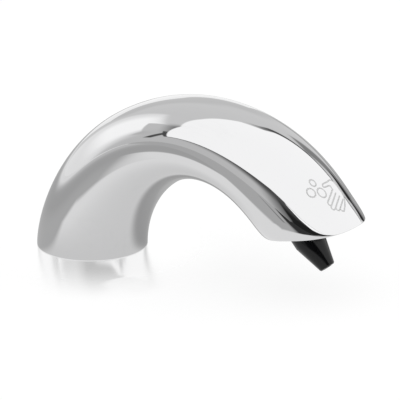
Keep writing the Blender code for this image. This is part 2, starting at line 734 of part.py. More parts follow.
def build_line_bracket():
    """Bent strip that stands on the plate and holds the two inlets over the passage."""
    slim = BRACKET_LEG_HALF_WIDTH
    wide = BRACKET_HALF_WIDTH
    corners = [(-UPRIGHT_BACK - BRACKET_FOOT, BRACKET_LOW, slim), (-UPRIGHT_BACK, BRACKET_LOW, slim)]
    corners += [(-UPRIGHT_BACK, SHELF_LOW, slim), (-UPRIGHT_BACK + BRACKET_FLARE, SHELF_LOW, wide)]
    corners += [(-UPRIGHT_BACK + BRACKET_REACH, SHELF_LOW, wide)]
    shape = bmesh.new()
    rows = []
    for x, z, half_width in corners:
        rows.append([shape.verts.new((x, side * half_width, z)) for side in (-1.0, 1.0)])
    for near, far in zip(rows, rows[1:]):
        shape.faces.new((near[0], far[0], far[1], near[1]))
    bends = [shape.edges.get(row) for row in rows[1:3]]
    round_edges(shape, bends, BRACKET_BEND)
    mesh = bpy.data.meshes.new("line_bracket")
    shape.to_mesh(mesh)
    shape.free()
    bracket = add_object("line_bracket", mesh, STEEL, None)
    sheet = bracket.modifiers.new("sheet", "SOLIDIFY")
    sheet.thickness = SHEET
    sheet.offset = 1.0
    sheet.use_even_offset = True
    low = SHELF_LOW - OVERRUN
    high = SHELF_TOP + OVERRUN
    spot = (0.0, -LINE_SPREAD, 0.0)
    inlet = cylinder("inlet_hole", INLET_BODY_RADIUS + GAP, low, high, None, None, spot, FITTING_SIDES)
    width, depth, _ = SOCKET_SIZE
    opening = (width + 2 * GAP, depth + 2 * GAP, 2 * OVERRUN)
    socket = block("socket_hole", opening, (0.0, LINE_SPREAD, (SHELF_LOW + SHELF_TOP) / 2), None)
    seat = bracket_screw_place()
    screw_way = screw_hole("bracket_foot_hole", SMALL_SCREW, seat.z, None, (seat.x, 0.0, 0.0))
    cut(bracket, inlet, socket, screw_way)
    smooth(bracket)
    screw("bracket_screw", SMALL_SCREW, BRACKET_SCREW_LENGTH, None, seat, head_up=True)


def barbs(tip, root, neck, radius):
    """Outline of a hose tail's barbs from its tip to its root, each flaring away from the tip."""
    pitch = (root - tip) / BARBS
    outline = []
    for index in range(BARBS):
        start = tip + pitch * index
        outline.append((neck, start))
        outline.append((radius, start + pitch * BARB_SLOPE_SHARE))
        outline.append((neck, start + pitch * BARB_FOOT_SHARE))
    outline.append((neck, root))
    return outline


def build_soap_inlet():
    """Barbed fitting that takes the supply hose from below, and its nut."""
    top = FLANGE_TOP + BARB_LENGTH
    tail = SHELF_LOW - INLET_TAIL
    nut_low = SHELF_LOW - GAP - NUT_HEIGHT
    outline = barbs(top, FLANGE_TOP, BARB_NECK_RADIUS, BARB_RADIUS)
    outline += [(INLET_FLANGE_RADIUS, FLANGE_TOP), (INLET_FLANGE_RADIUS, SHELF_TOP + GAP)]
    outline += [(INLET_BODY_RADIUS, SHELF_TOP + GAP), (INLET_BODY_RADIUS, nut_low - GAP)]
    outline += reversed(barbs(tail, nut_low - GAP, TAIL_NECK_RADIUS, TAIL_BARB_RADIUS))
    outline += [(INLET_BORE_RADIUS, tail), (INLET_BORE_RADIUS, top)]
    spot = (0.0, -LINE_SPREAD, 0.0)
    turned("soap_inlet", outline, None, NATURAL, spot, FITTING_SIDES, closed=True)
    nut = cylinder("inlet_nut", NUT_RADIUS, nut_low, SHELF_LOW - GAP, None, NATURAL, spot, NUT_SIDES)
    bore = INLET_BODY_RADIUS + GAP
    cut(nut, cylinder("nut_bore", bore, nut_low - GAP, SHELF_LOW, None, None, spot, FITTING_SIDES))


def build_lead_socket():
    """Small connector that takes the sensor's supply plug from below."""
    width, depth, height = SOCKET_SIZE
    top = SOCKET_TOP - SOCKET_FLANGE[2]
    low = top - height
    spot = (0.0, LINE_SPREAD, (top + low + GAP) / 2)
    body = block("lead_socket", (width, depth, height + GAP), spot, None, BLACK_SATIN)
    join(body, block("socket_flange", SOCKET_FLANGE, (0.0, LINE_SPREAD, top + SOCKET_FLANGE[2] / 2), None))
    hollow = (width - 2 * SOCKET_WALL, depth - 2 * SOCKET_WALL, SOCKET_DEPTH + OVERRUN)
    cut(body, block("socket_hollow", hollow, (0.0, LINE_SPREAD, low + (SOCKET_DEPTH - OVERRUN) / 2), None))
    roof = low + SOCKET_DEPTH
    for index in range(PINS):
        side = LINE_SPREAD + PIN_PITCH * (index - (PINS - 1) / 2)
        place = (0.0, side, 0.0)
        tip = roof - PIN_LENGTH
        join(body, cylinder(f"socket_pin_{index}", PIN_RADIUS, tip, roof + GAP, None, None, place, PIN_SIDES))


# Lines along the arch
def line_bend(start, start_way, start_pull, end, end_way, end_pull):
    """Points of a smooth bend between two places, without its last point."""
    controls = [start, start + start_way * start_pull, end - end_way * end_pull, end]
    return [bezier(controls, index / LINE_POINTS) for index in range(LINE_POINTS)]


def line_route(start, start_straight, crown, end, end_straight):
    """Route of a line: up out of its inlet, over the saddle and down to the tip."""
    up = Vector((0.0, 0.0, 1.0))
    level = Vector((1.0, 0.0, 0.0))
    down = (nozzle_point(0.0, 0.0, 0.0) - nozzle_point(0.0, 0.0, NOZZLE_RADIUS)).normalized()
    leg_start = start + up * start_straight
    tip_end = end - down * end_straight
    points = [start]
    points += line_bend(leg_start, up, LEG_PULL, crown, level, CROWN_PULL)
    points += line_bend(crown, level, CROWN_PULL, tip_end, down, TIP_PULL)
    return points + [tip_end, end]


def build_lines():
    """The soap tube and the sensor's lead, each held along its whole way."""
    crown = saddle_centre()
    side = Vector((0.0, SADDLE_SPREAD, 0.0))
    inlet = Vector((0.0, -LINE_SPREAD, FLANGE_TOP + GAP))
    barb = nozzle_point(0.0, 0.0, HOLDER_TOP + GAP)
    route = line_route(inlet, LINE_STRAIGHT, crown - side, barb, LINE_STRAIGHT)
    tube = curve_tube("soap_tube", route, TUBE_RADIUS, None, CLEAR_TUBE, capped=False)
    wall = tube.modifiers.new("wall", "SOLIDIFY")
    wall.thickness = TUBE_WALL
    wall.offset = -1.0
    socket = Vector((0.0, LINE_SPREAD, SOCKET_TOP + GAP))
    board = nozzle_point(SENSOR_FORWARD, LEAD_SIDE, board_height() + BOARD_THICKNESS + GAP)
    route = line_route(socket, LINE_STRAIGHT, crown + side, board, LINE_STRAIGHT)
    curve_tube("sensor_lead", route, LEAD_RADIUS, None, LEAD_GREY)


def build_saddle():
    """Moulded block that holds both lines under the crown, and its screw."""
    centre = saddle_centre()
    saddle = block("line_saddle", SADDLE_SIZE, centre, None, NATURAL)
    rounding = saddle.modifiers.new("rounding", "BEVEL")
    rounding.width = SADDLE_CORNER
    rounding.segments = BLOCK_BEVEL_STEPS
    reach = SADDLE_SIZE[0]
    for name, spread, radius in (("tube", -SADDLE_SPREAD, TUBE_RADIUS), ("lead", SADDLE_SPREAD, LEAD_RADIUS)):
        place = centre + Vector((0.0, spread, 0.0))
        way = cylinder(f"saddle_{name}_way", radius + GAP, -reach, reach, None, None, place, FITTING_SIDES)
        way.rotation_euler = (0.0, math.pi / 2, 0.0)
        cut(saddle, way)
    low = centre.z - SADDLE_SIZE[2] / 2
    spot = (centre.x, 0.0, 0.0)
    high = centre.z + SADDLE_SIZE[2]
    cut(saddle, screw_hole("saddle_hole", SMALL_SCREW, high, None, spot, low - GAP))
    screw("saddle_screw", SMALL_SCREW, SADDLE_SCREW_LENGTH, None, (centre.x, 0.0, low - GAP))


# Tip cover
def build_tip_cover():
    """Black plate in the slanted rim, with ways for the nozzle, the sensor and its screws."""
    wide = 4 * FOOT_RADIUS
    middle = COVER_RECESS + COVER_THICKNESS / 2
    cover = block("tip_cover", (RIM_LENGTH * 2, wide, COVER_THICKNESS), (0.0, 0.0, middle), RIM, BLACK_SATIN)
    rings = spout_rings(COVER_START_SHARE, COVER_RINGS, WALL + COVER_SIDE_GAP)
    combine(cover, loft("cover_outline", rings, capped=True), "INTERSECT")
    high = nozzle_height(-HOLDER_RADIUS, EAR_TOP)
    cut(cover, cylinder("nozzle_way", NOZZLE_RADIUS + GAP, 0.0, high, NOZZLE, None, sides=NOZZLE_SIDES))
    width, depth, height = WINDOW_SIZE
    pocket = (width + 2 * GAP, depth + 2 * GAP, OVERRUN + height + GAP)
    pocket_middle = COVER_RECESS + height + GAP - pocket[2] / 2
    place = (WINDOW_FORWARD, 0.0, pocket_middle)
    cut(cover, block("window_pocket", pocket, place, RIM, corner=WINDOW_CORNER + GAP))
    view = (width - 2 * WINDOW_LEDGE, depth - 2 * WINDOW_LEDGE, 2 * OVERRUN)
    cut(cover, block("window_view", view, (WINDOW_FORWARD, 0.0, COVER_TOP), RIM, corner=WINDOW_CORNER / 2))
    for name, side in SIDES:
        spot = (-COVER_SCREW_BACK, side * COVER_SCREW_SPREAD, 0.0)
        cut(cover, screw_hole(f"cover_way_{name}", FRAME_SCREW, EAR_TOP, RIM, spot))
        cut(cover, head_pocket(f"cover_pocket_{name}", FRAME_SCREW, COVER_RECESS, RIM, spot))
        seat = (spot[0], spot[1], COVER_RECESS + HEAD_SEAT)
        screw(f"cover_screw_{name}", FRAME_SCREW, COVER_SCREW_LENGTH, RIM, seat)
        seat = sensor_screw_place(side)
        post = (seat.x, seat.y, 0.0)
        high = COVER_TOP + SENSOR_POST_RISE
        join(cover, cylinder(f"post_{name}", SENSOR_POST_RADIUS, middle, high, RIM, None, post, POCKET_SIDES))
        low = seat.z - SENSOR_SCREW_LENGTH - GAP
        cut(cover, screw_hole(f"post_hole_{name}", SMALL_SCREW, EAR_TOP, RIM, post, low))
    smooth(cover)


# Nozzle and its valve
def build_nozzle():
    """Tapered plug with its outlet, its spigot and the chamber of its valve."""
    groove_low = SHOULDER_HEIGHT + SEAL_LIFT
    groove_high = groove_low + seal_height() + 2 * SEAL_GAP
    groove = SPIGOT_RADIUS - SEAL_GROOVE_DEPTH
    outline = [(SPIGOT_RADIUS - SPIGOT_CHAMFER, SPIGOT_TOP), (SPIGOT_RADIUS, SPIGOT_TOP - SPIGOT_CHAMFER)]
    outline += [(SPIGOT_RADIUS, groove_high), (groove, groove_high), (groove, groove_low)]
    outline += [(SPIGOT_RADIUS, groove_low), (SPIGOT_RADIUS, SHOULDER_HEIGHT)]
    outline += [(NOZZLE_RADIUS, SHOULDER_HEIGHT), (NOZZLE_RADIUS, TAPER_LENGTH)]
    outline += [(OUTLET_RADIUS, OUTLET_CHAMFER), (OUTLET_RADIUS - OUTLET_CHAMFER, 0.0)]
    outline += [(OUTLET_BORE_RADIUS, 0.0), (OUTLET_BORE_RADIUS, OUTLET_BORE_DEPTH)]
    outline.append((THROAT_RADIUS, OUTLET_BORE_DEPTH + OUTLET_BORE_RADIUS))
    floor = SPRING_LOW - SPRING_WIRE - GAP
    outline += [(THROAT_RADIUS, floor), (VALVE_BORE_RADIUS, floor), (VALVE_BORE_RADIUS, SPIGOT_TOP)]
    nozzle = turned("nozzle", outline, NOZZLE, BLACK_GLOSS, sides=NOZZLE_SIDES, closed=True)
    smooth(nozzle)


def seal_height():
    """Thickness of the seal's ring: what the groove and the holder leave, less a small gap each side."""
    return GAP + SEAL_GROOVE_DEPTH - 2 * SEAL_GAP


def build_nozzle_seal():
    """Rubber ring in the spigot's groove."""
    radius = seal_height() / 2
    middle = SPIGOT_RADIUS - SEAL_GROOVE_DEPTH + SEAL_GAP + radius
    height = SHOULDER_HEIGHT + SEAL_LIFT + SEAL_GAP + radius
    outline = []
    for index in range(SEAL_SIDES):
        angle = -math.tau * index / SEAL_SIDES
        outline.append((middle + radius * math.cos(angle), height + radius * math.sin(angle)))
    turned("nozzle_seal", outline, NOZZLE, RUBBER, sides=NOZZLE_SIDES, closed=True)


def build_valve():
    """Seat, ball and spring of the check valve in the nozzle's bore."""
    outer = VALVE_BORE_RADIUS - GAP
    outline = [(outer, SPIGOT_TOP), (outer, SEAT_LOW)]
    outline += [(SEAT_HOLE_RADIUS, SEAT_LOW), (SEAT_HOLE_RADIUS, SPIGOT_TOP)]
    turned("valve_seat", outline, NOZZLE, NATURAL, sides=FITTING_SIDES, closed=True)
    ball = bmesh.new()
    bmesh.ops.create_uvsphere(ball, u_segments=2 * BALL_ROWS, v_segments=BALL_ROWS, radius=BALL_RADIUS)
    mesh = bpy.data.meshes.new("check_ball")
    ball.to_mesh(mesh)
    ball.free()
    mesh.shade_smooth()
    add_object("check_ball", mesh, STEEL, NOZZLE, (0.0, 0.0, BALL_HEIGHT))
    count = SPRING_TURNS * SPRING_TURN_POINTS
    points = []
    for index in range(count + 1):
        angle = math.tau * index / SPRING_TURN_POINTS
        height = SPRING_LOW + SPRING_LENGTH * index / count
        points.append((SPRING_RADIUS * math.cos(angle), SPRING_RADIUS * math.sin(angle), height))
    curve_tube("valve_spring", points, SPRING_WIRE, NOZZLE, STEEL, SPRING_BEVEL_STEPS)


def build_nozzle_holder():
    """Socket that the nozzle pushes into, held with the cover by its two ears."""
    top = HOLDER_TOP + BARB_LENGTH
    outline = [(0.0, top)] + barbs(top, HOLDER_TOP, BARB_NECK_RADIUS, BARB_RADIUS)
    outline += [(HOLDER_NECK_RADIUS, HOLDER_TOP), (HOLDER_RADIUS, HOLDER_SHOULDER)]
    outline += [(HOLDER_RADIUS, TAPER_LENGTH), (0.0, TAPER_LENGTH)]
    holder = turned("nozzle_holder", outline, NOZZLE, BLACK_SATIN, sides=NOZZLE_SIDES)
    width = 2 * (COVER_SCREW_SPREAD + COVER_BOSS_RADIUS)
    size = (2 * HOLDER_EAR_HALF_WIDTH, width, HOLDER_EAR_THICKNESS)
    place = (-COVER_SCREW_BACK, 0.0, EAR_TOP - HOLDER_EAR_THICKNESS / 2)
    join(holder, block("holder_ears", size, place, RIM, corner=HOLDER_EAR_CORNER))
    low = COVER_TOP + GAP
    deep = 2 * RIM_LENGTH
    cut(holder, block("holder_trim", (deep, deep, deep), (0.0, 0.0, low - deep / 2), RIM))
    step = SHOULDER_HEIGHT + GAP
    roof = SPIGOT_TOP + GAP
    wide = NOZZLE_RADIUS + GAP
    narrow = SPIGOT_RADIUS + GAP
    bore = [(0.0, top + OVERRUN), (INLET_BORE_RADIUS, top + OVERRUN), (INLET_BORE_RADIUS, roof)]
    bore += [(narrow, roof), (narrow, step), (wide, step), (wide, 0.0), (0.0, 0.0)]
    cut(holder, turned("holder_bore", bore, NOZZLE, sides=NOZZLE_SIDES))
    for name, side in SIDES:
        spot = (-COVER_SCREW_BACK, side * COVER_SCREW_SPREAD, 0.0)
        cut(holder, screw_hole(f"ear_hole_{name}", FRAME_SCREW, EAR_TOP + OVERRUN, RIM, spot))
    smooth(holder)


# Sensor
def sensor_screw_place(side):
    """Where a sensor screw's head bears on the sensor's ear, in the rim's frame."""
    rise = SENSOR_EAR_LOW + SENSOR_EAR_THICKNESS
    return Vector((rim_forward(SENSOR_FORWARD, rise), side * SENSOR_SCREW_SPREAD, rise + GAP))


def build_sensor_housing():
    """Cup behind the window that holds the board and the two eyes."""
    low = OUTLET_BORE_DEPTH
    top = sensor_top()
    size = (SENSOR_DEPTH, SENSOR_WIDTH, top - low)
    place = (SENSOR_FORWARD, 0.0, (top + low) / 2)
    housing = block("sensor_housing", size, place, NOZZLE, BLACK_SATIN)
    ear_middle = SENSOR_EAR_LOW + SENSOR_EAR_THICKNESS / 2
    size = (SENSOR_EAR_DEPTH, 2 * (SENSOR_SCREW_SPREAD + SENSOR_EAR_EDGE), SENSOR_EAR_THICKNESS)
    place = (rim_forward(SENSOR_FORWARD, ear_middle), 0.0, ear_middle)
    join(housing, block("sensor_ears", size, place, RIM, corner=SENSOR_EAR_CORNER))
    deep = 2 * RIM_LENGTH
    trim = block("sensor_trim", (deep, deep, deep), (0.0, 0.0, COVER_TOP + GAP - deep / 2), RIM)
    hollow = (SENSOR_DEPTH - 2 * SENSOR_WALL, SENSOR_WIDTH - 2 * SENSOR_WALL, top)
    cavity_middle = board_height() - SENSOR_CUP_DEPTH + top / 2
    cavity = block("sensor_cavity", hollow, (SENSOR_FORWARD, 0.0, cavity_middle), NOZZLE)
    cut(housing, trim, cavity)
    for name, side in SIDES:
        spot = (SENSOR_FORWARD, side * EYE_SPREAD, 0.0)
        way = cylinder(f"eye_way_{name}", EYE_RADIUS + GAP, 0.0, top, NOZZLE, None, spot, EYE_SIDES)
        cut(housing, way)
        seat = sensor_screw_place(side)
        way = (seat.x, seat.y, 0.0)
        cut(housing, screw_hole(f"sensor_ear_hole_{name}", SMALL_SCREW, seat.z, RIM, way, COVER_TOP))
        screw(f"sensor_screw_{name}", SMALL_SCREW, SENSOR_SCREW_LENGTH, RIM, seat, head_up=True)


def build_sensor_inside():
    """Window, cap, board and the two eyes of the sensor."""
    place = (WINDOW_FORWARD, 0.0, COVER_RECESS + WINDOW_SIZE[2] / 2)
    block("sensor_window", WINDOW_SIZE, place, RIM, WINDOW_DARK, corner=WINDOW_CORNER)
    inner = (SENSOR_DEPTH - 2 * SENSOR_WALL - 2 * GAP, SENSOR_WIDTH - 2 * SENSOR_WALL - 2 * GAP)
    board = board_height()
    place = (SENSOR_FORWARD, 0.0, sensor_top() - SENSOR_CAP / 2)
    cap = block("sensor_cap", (*inner, SENSOR_CAP), place, NOZZLE, BLACK_SATIN)
    spot = (SENSOR_FORWARD, LEAD_SIDE, 0.0)
    high = sensor_top() + OVERRUN
    way = cylinder("lead_way", LEAD_RADIUS + GAP, board, high, NOZZLE, None, spot, EYE_SIDES)
    cut(cap, way)
    place = (SENSOR_FORWARD, 0.0, board + BOARD_THICKNESS / 2)
    block("sensor_board", (*inner, BOARD_THICKNESS), place, NOZZLE, BOARD_GREEN)
    top = board - GAP
    low = top - EYE_LENGTH
    outline = [(0.0, top), (EYE_FLANGE_RADIUS, top), (EYE_FLANGE_RADIUS, top - EYE_FLANGE_HEIGHT)]
    outline += [(EYE_RADIUS, top - EYE_FLANGE_HEIGHT)]
    for index in range(DOME_POINTS + 1):
        angle = math.pi / 2 * index / DOME_POINTS
        outline.append((EYE_RADIUS * math.cos(angle), low + EYE_RADIUS * (1.0 - math.sin(angle))))
    for name, side, finish in (("ir_emitter", 1.0, EYE_CLEAR), ("ir_receiver", -1.0, EYE_DARK)):
        turned(name, outline, NOZZLE, finish, (SENSOR_FORWARD, side * EYE_SPREAD, 0.0), EYE_SIDES)


clear_scene()
PIECES = add_collection("soap_dispenser_spout")
CUTTERS = add_collection("cutters")
CUTTERS.hide_render = True
RIM = add_frame("rim_frame", RIM_CENTRE, -RIM_TILT)
NOZZLE = add_frame("nozzle_frame", (OUTLET[0], 0.0, OUTLET[1]), -NOZZLE_LEAN)
WALL_MIDDLE = loft("wall_middle", spout_rings(0.0, RINGS, WALL / 2), capped=True)
build_spout_shell()
build_deck_gasket()
build_base_plate()
build_line_bracket()
build_soap_inlet()
build_lead_socket()
build_lines()
build_saddle()
build_tip_cover()
build_nozzle()
build_nozzle_seal()
build_valve()
build_nozzle_holder()
build_sensor_housing()
build_sensor_inside()
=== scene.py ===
"""Looks of a deck-mounted automatic soap dispenser spout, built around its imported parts.

The frame holds every piece at its real place. This script models the surfaces that
show, which are the polished casting, its etched pictogram and the tapered nozzle, and
the coil of the valve's spring. It dresses every piece with its finish and sets up a
plain pale studio. Lengths are in metres, +Z is up, and the centre of the spout's foot
on the deck is the origin.
"""
import logging
import math
from dataclasses import dataclass, field
from enum import Enum

import bmesh
import bpy
from mathutils import Matrix, Vector


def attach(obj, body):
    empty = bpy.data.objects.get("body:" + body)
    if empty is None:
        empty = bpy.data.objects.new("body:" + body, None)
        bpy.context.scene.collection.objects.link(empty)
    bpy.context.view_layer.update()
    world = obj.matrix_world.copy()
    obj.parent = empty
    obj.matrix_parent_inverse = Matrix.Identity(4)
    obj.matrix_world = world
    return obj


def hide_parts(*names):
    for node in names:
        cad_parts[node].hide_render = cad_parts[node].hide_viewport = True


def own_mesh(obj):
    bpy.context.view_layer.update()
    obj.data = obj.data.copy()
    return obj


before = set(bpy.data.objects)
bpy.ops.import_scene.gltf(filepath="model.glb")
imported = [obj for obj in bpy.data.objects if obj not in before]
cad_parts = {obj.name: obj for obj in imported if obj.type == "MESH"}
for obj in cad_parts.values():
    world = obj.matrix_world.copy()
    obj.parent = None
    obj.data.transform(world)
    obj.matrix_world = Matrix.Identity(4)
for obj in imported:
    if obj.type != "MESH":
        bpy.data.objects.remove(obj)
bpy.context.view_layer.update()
LOG = logging.getLogger("soap_dispenser_spout")

Pair = tuple[float, float]
Triple = tuple[float, float, float]
Colour = tuple[float, float, float]
Outline = list[Pair]
Ring = list[Vector]

MM = 0.001
ROOT = "root"
NOZZLE_UNIT = "nozzle_unit"
WHITE = (1.0, 1.0, 1.0, 1.0)
EVEN: Triple = (1.0, 1.0, 1.0)

# Angles in degrees: from the first a turned piece's corners are rounded, and from the
# others the shading breaks, on plain pieces and on those that are round all over.
CORNER_ANGLE = 20.0
CREASE_ANGLE = 35.0
ROUND_CREASE_ANGLE = 60.0


class Slot(Enum):
    """The record's material slots that the pieces take their finish from."""

    CHROME = "polished_chrome"
    STEEL = "stainless_steel"
    BRASS = "nickel_brass"
    GLOSS_BLACK = "gloss_black_moulding"
    SATIN_BLACK = "satin_black_moulding"
    WINDOW = "infrared_window"
    RUBBER = "black_rubber"
    NATURAL = "natural_moulding"
    TUBE = "clear_tube"
    LEAD = "grey_lead"
    BOARD = "circuit_board"
    CLEAR_LENS = "clear_lens"
    DARK_LENS = "dark_lens"


# Shaders
class Signal:
    """A value inside a shader, which Python's operators combine through Math nodes."""

    def __init__(self, graph: "ShaderGraph", socket: bpy.types.NodeSocket) -> None:
        """Keep the graph and the output socket that carries the value."""
        self.graph = graph
        self.socket = socket

    def __add__(self, other: "Level") -> "Signal":
        """Return self + other."""
        return self.graph.maths("ADD", self, other)

    def __radd__(self, other: float) -> "Signal":
        """Return other + self."""
        return self.graph.maths("ADD", other, self)

    def __sub__(self, other: "Level") -> "Signal":
        """Return self - other."""
        return self.graph.maths("SUBTRACT", self, other)

    def __rsub__(self, other: float) -> "Signal":
        """Return other - self."""
        return self.graph.maths("SUBTRACT", other, self)

    def __mul__(self, other: "Level") -> "Signal":
        """Return self * other."""
        return self.graph.maths("MULTIPLY", self, other)

    def __rmul__(self, other: float) -> "Signal":
        """Return other * self."""
        return self.graph.maths("MULTIPLY", other, self)

    def __truediv__(self, other: "Level") -> "Signal":
        """Return self / other."""
        return self.graph.maths("DIVIDE", self, other)

    def __rtruediv__(self, other: float) -> "Signal":
        """Return other / self."""
        return self.graph.maths("DIVIDE", other, self)

    def low(self, other: "Level") -> "Signal":
        """Return the lower of two values."""
        return self.graph.maths("MINIMUM", self, other)

    def high(self, other: "Level") -> "Signal":
        """Return the higher of two values."""
        return self.graph.maths("MAXIMUM", self, other)

    def root(self) -> "Signal":
        """Return the square root of the value."""
        return self.graph.maths("SQRT", self)

    def size(self) -> "Signal":
        """Return the value without its sign."""
        return self.graph.maths("ABSOLUTE", self)

    def ramp(self, start: float, end: float) -> "Signal":
        """Return 0 before start, 1 after end and a smooth rise between them."""
        sockets = {"Value": self, "From Min": start, "From Max": end}
        return self.graph.node("ShaderNodeMapRange", {"interpolation_type": "SMOOTHSTEP"}, sockets)

    def dot(self, axis: Vector) -> "Signal":
        """Return how far this vector runs along an axis."""
        settings, sockets = {"operation": "DOT_PRODUCT"}, {0: self, 1: tuple(axis)}
        return self.graph.node("ShaderNodeVectorMath", settings, sockets, output="Value")

    def length(self) -> "Signal":
        """Return this vector's length."""
        return self.graph.node("ShaderNodeVectorMath", {"operation": "LENGTH"}, {0: self}, output="Value")

    def parts(self) -> "tuple[Signal, Signal, Signal]":
        """Return this vector's parts along X, Y and Z."""
        first = self.graph.node("ShaderNodeSeparateXYZ", sockets={0: self}, output="X")
        return first, first.output("Y"), first.output("Z")

    def output(self, name: str) -> "Signal":
        """Return another output of the node that made this value."""
        return Signal(self.graph, self.socket.node.outputs[name])


Level = Signal | float


def blend(first: Level, last: Level, share: Level) -> Level:
    """Return a value that runs from first to last as share runs from 0 to 1."""
    return first + (last - first) * share


class ShaderGraph:
    """The nodes of one material or world."""

    def __init__(self, owner: bpy.types.Material | bpy.types.World) -> None:
        """Empty the owner's node tree and keep it.

        Args:
            owner: The material or world that the nodes belong to.
        """
        owner.use_nodes = True
        self.tree = owner.node_tree
        self.tree.nodes.clear()

    def node(
        self,
        kind: str,
        settings: dict[str, object] | None = None,
        sockets: dict[str | int, object] | None = None,
        output: str | int = 0,
    ) -> Signal:
        """Add a node.

        Args:
            kind: The node's type.
            settings: Its properties, which are set first.
            sockets: Values, or signals to link, by the name or number of the input.
            output: The output to return.

        Returns:
            The signal of that output.
        """
        made = self.tree.nodes.new(kind)
        for name, value in (settings or {}).items():
            setattr(made, name, value)
        for name, value in (sockets or {}).items():
            if isinstance(value, Signal):
                self.tree.links.new(value.socket, made.inputs[name])
            else:
                made.inputs[name].default_value = value
        return Signal(self, made.outputs[output])

    def maths(self, operation: str, *values: Level) -> Signal:
        """Return one Math node's result for its values."""
        return self.node("ShaderNodeMath", {"operation": operation}, dict(enumerate(values)))

    def mix(self, share: Level, first: Colour | Signal, second: Colour | Signal) -> Signal:
        """Blend two colours.

        Args:
            share: 0 for the first colour, and 1 for the second.
            first: The first colour.
            second: The second colour.

        Returns:
            The blended colour.
        """
        pair = [item if isinstance(item, Signal) else (*item, 1.0) for item in (first, second)]
        sockets = {0: share, 6: pair[0], 7: pair[1]}
        return self.node("ShaderNodeMix", {"data_type": "RGBA"}, sockets, output=2)

    def place(self, stretch: Triple = EVEN) -> Signal:
        """Return the place on the piece, stretched along each axis."""
        spot = self.node("ShaderNodeTexCoord", output="Object")
        return self.node("ShaderNodeMapping", sockets={"Vector": spot, "Scale": stretch})

    def noise(self, grain: float, detail: float = 2.0, stretch: Triple = EVEN) -> Signal:
        """Return a soft random value whose patches are about grain wide."""
        sockets = {"Vector": self.place(stretch), "Scale": 1.0 / grain, "Detail": detail}
        return self.node("ShaderNodeTexNoise", sockets=sockets)

    def bump(self, height: Signal, depth: float) -> Signal:
        """Return the normal of a surface that stands up by depth where height is 1."""
        return self.node("ShaderNodeBump", sockets={"Height": height, "Distance": depth, "Strength": 1.0})

    def diffuse(self, share: float) -> Signal:
        """Return a matt surface that sends back a share of its light."""
        return self.node("ShaderNodeBsdfDiffuse", sockets={"Color": (share, share, share, 1.0)})

    def glossy(self, share: float, roughness: float) -> Signal:
        """Return a mirroring surface that sends back a share of its light."""
        sockets = {"Color": (share, share, share, 1.0), "Roughness": roughness}
        return self.node("ShaderNodeBsdfGlossy", sockets=sockets)

    def glow(self, level: Level) -> Signal:
        """Return a surface that glows white at a level."""
        return self.node("ShaderNodeEmission", sockets={"Color": WHITE, "Strength": level})

    def glowing(self, surface: Signal, level: Level) -> Signal:
        """Return a surface that also glows at a level."""
        return self.node("ShaderNodeAddShader", sockets={0: surface, 1: self.glow(level)})

    def blend_surfaces(self, share: Signal, first: Signal, second: Signal) -> Signal:
        """Return a surface that runs from first to second as share runs from 0 to 1."""
        return self.node("ShaderNodeMixShader", sockets={0: share, 1: first, 2: second})

    def rays(self) -> tuple[Signal, Signal]:
        """Return two signals, 1 for camera rays and 1 for mirrored or transmitted rays."""
        seen = self.node("ShaderNodeLightPath", output="Is Camera Ray")
        return seen, seen.output("Is Glossy Ray").high(seen.output("Is Transmission Ray"))

    def principled(self, sockets: dict[str | int, object]) -> None:
        """Make the material's surface a Principled shader with these sockets."""
        shader = self.node("ShaderNodeBsdfPrincipled", sockets=sockets)
        self.node_output("ShaderNodeOutputMaterial", shader)

    def node_output(self, kind: str, shader: Signal) -> None:
        """Link a shader to a new output node."""
        made = self.tree.nodes.new(kind)
        self.tree.links.new(shader.socket, made.inputs["Surface"])


# Finishes
@dataclass(frozen=True)
class Finish:
    """A surface finish, made into a material once and shared."""

    name: str
    colour: Colour
    roughness: float

    def material(self) -> bpy.types.Material:
        """Find or make the finish's material.

        Returns:
            The material, shared by all pieces with this finish.
        """
        found = bpy.data.materials.get(self.full_name)
        if found is None:
            found = bpy.data.materials.new(self.full_name)
            self.paint(ShaderGraph(found))
        return found

    @property
    def full_name(self) -> str:
        """Name of the material, apart from those that come with the frame."""
        return f"finish_{self.name}"

    def paint(self, graph: ShaderGraph) -> None:
        """Build the material's nodes."""
        graph.principled({"Base Color": (*self.colour, 1.0), "Roughness": self.roughness})

    def shades(self, graph: ShaderGraph, share: Signal, change: float) -> Signal:
        """Vary the colour.

        Args:
            graph: The material's graph.
            share: 0 where the colour is darkest, and 1 where it is lightest.
            change: How far it goes each way, as a share of the colour.

        Returns:
            The varied colour.
        """
        dark = tuple(part * (1.0 - change) for part in self.colour)
        light = tuple(min(1.0, part * (1.0 + change)) for part in self.colour)
        return graph.mix(share, dark, light)


@dataclass(frozen=True)
class PolishedPlating(Finish):
    """Mirror plating with a faint film that wiping leaves."""

    film_grain: float = 22.0 * MM
    film_shares: Pair = (0.45, 0.75)
    wipe_grain: float = 1.6 * MM
    wipe_stretch: Triple = (0.12, 1.0, 0.5)
    wipe_shares: Pair = (0.35, 0.8)
    film_roughness: float = 0.03
    shade: float = 0.012

    def paint(self, graph: ShaderGraph) -> None:
        """Build a metal whose gloss varies a little.

        Args:
            graph: The material's graph.
        """
        film = graph.noise(self.film_grain, detail=3.0).ramp(*self.film_shares)
        haze = film * graph.noise(self.wipe_grain, stretch=self.wipe_stretch).ramp(*self.wipe_shares)
        graph.principled(
            {
                "Base Color": self.shades(graph, 1.0 - haze, self.shade),
                "Roughness": self.roughness + self.film_roughness * haze,
                "Metallic": 1.0,
            }
        )


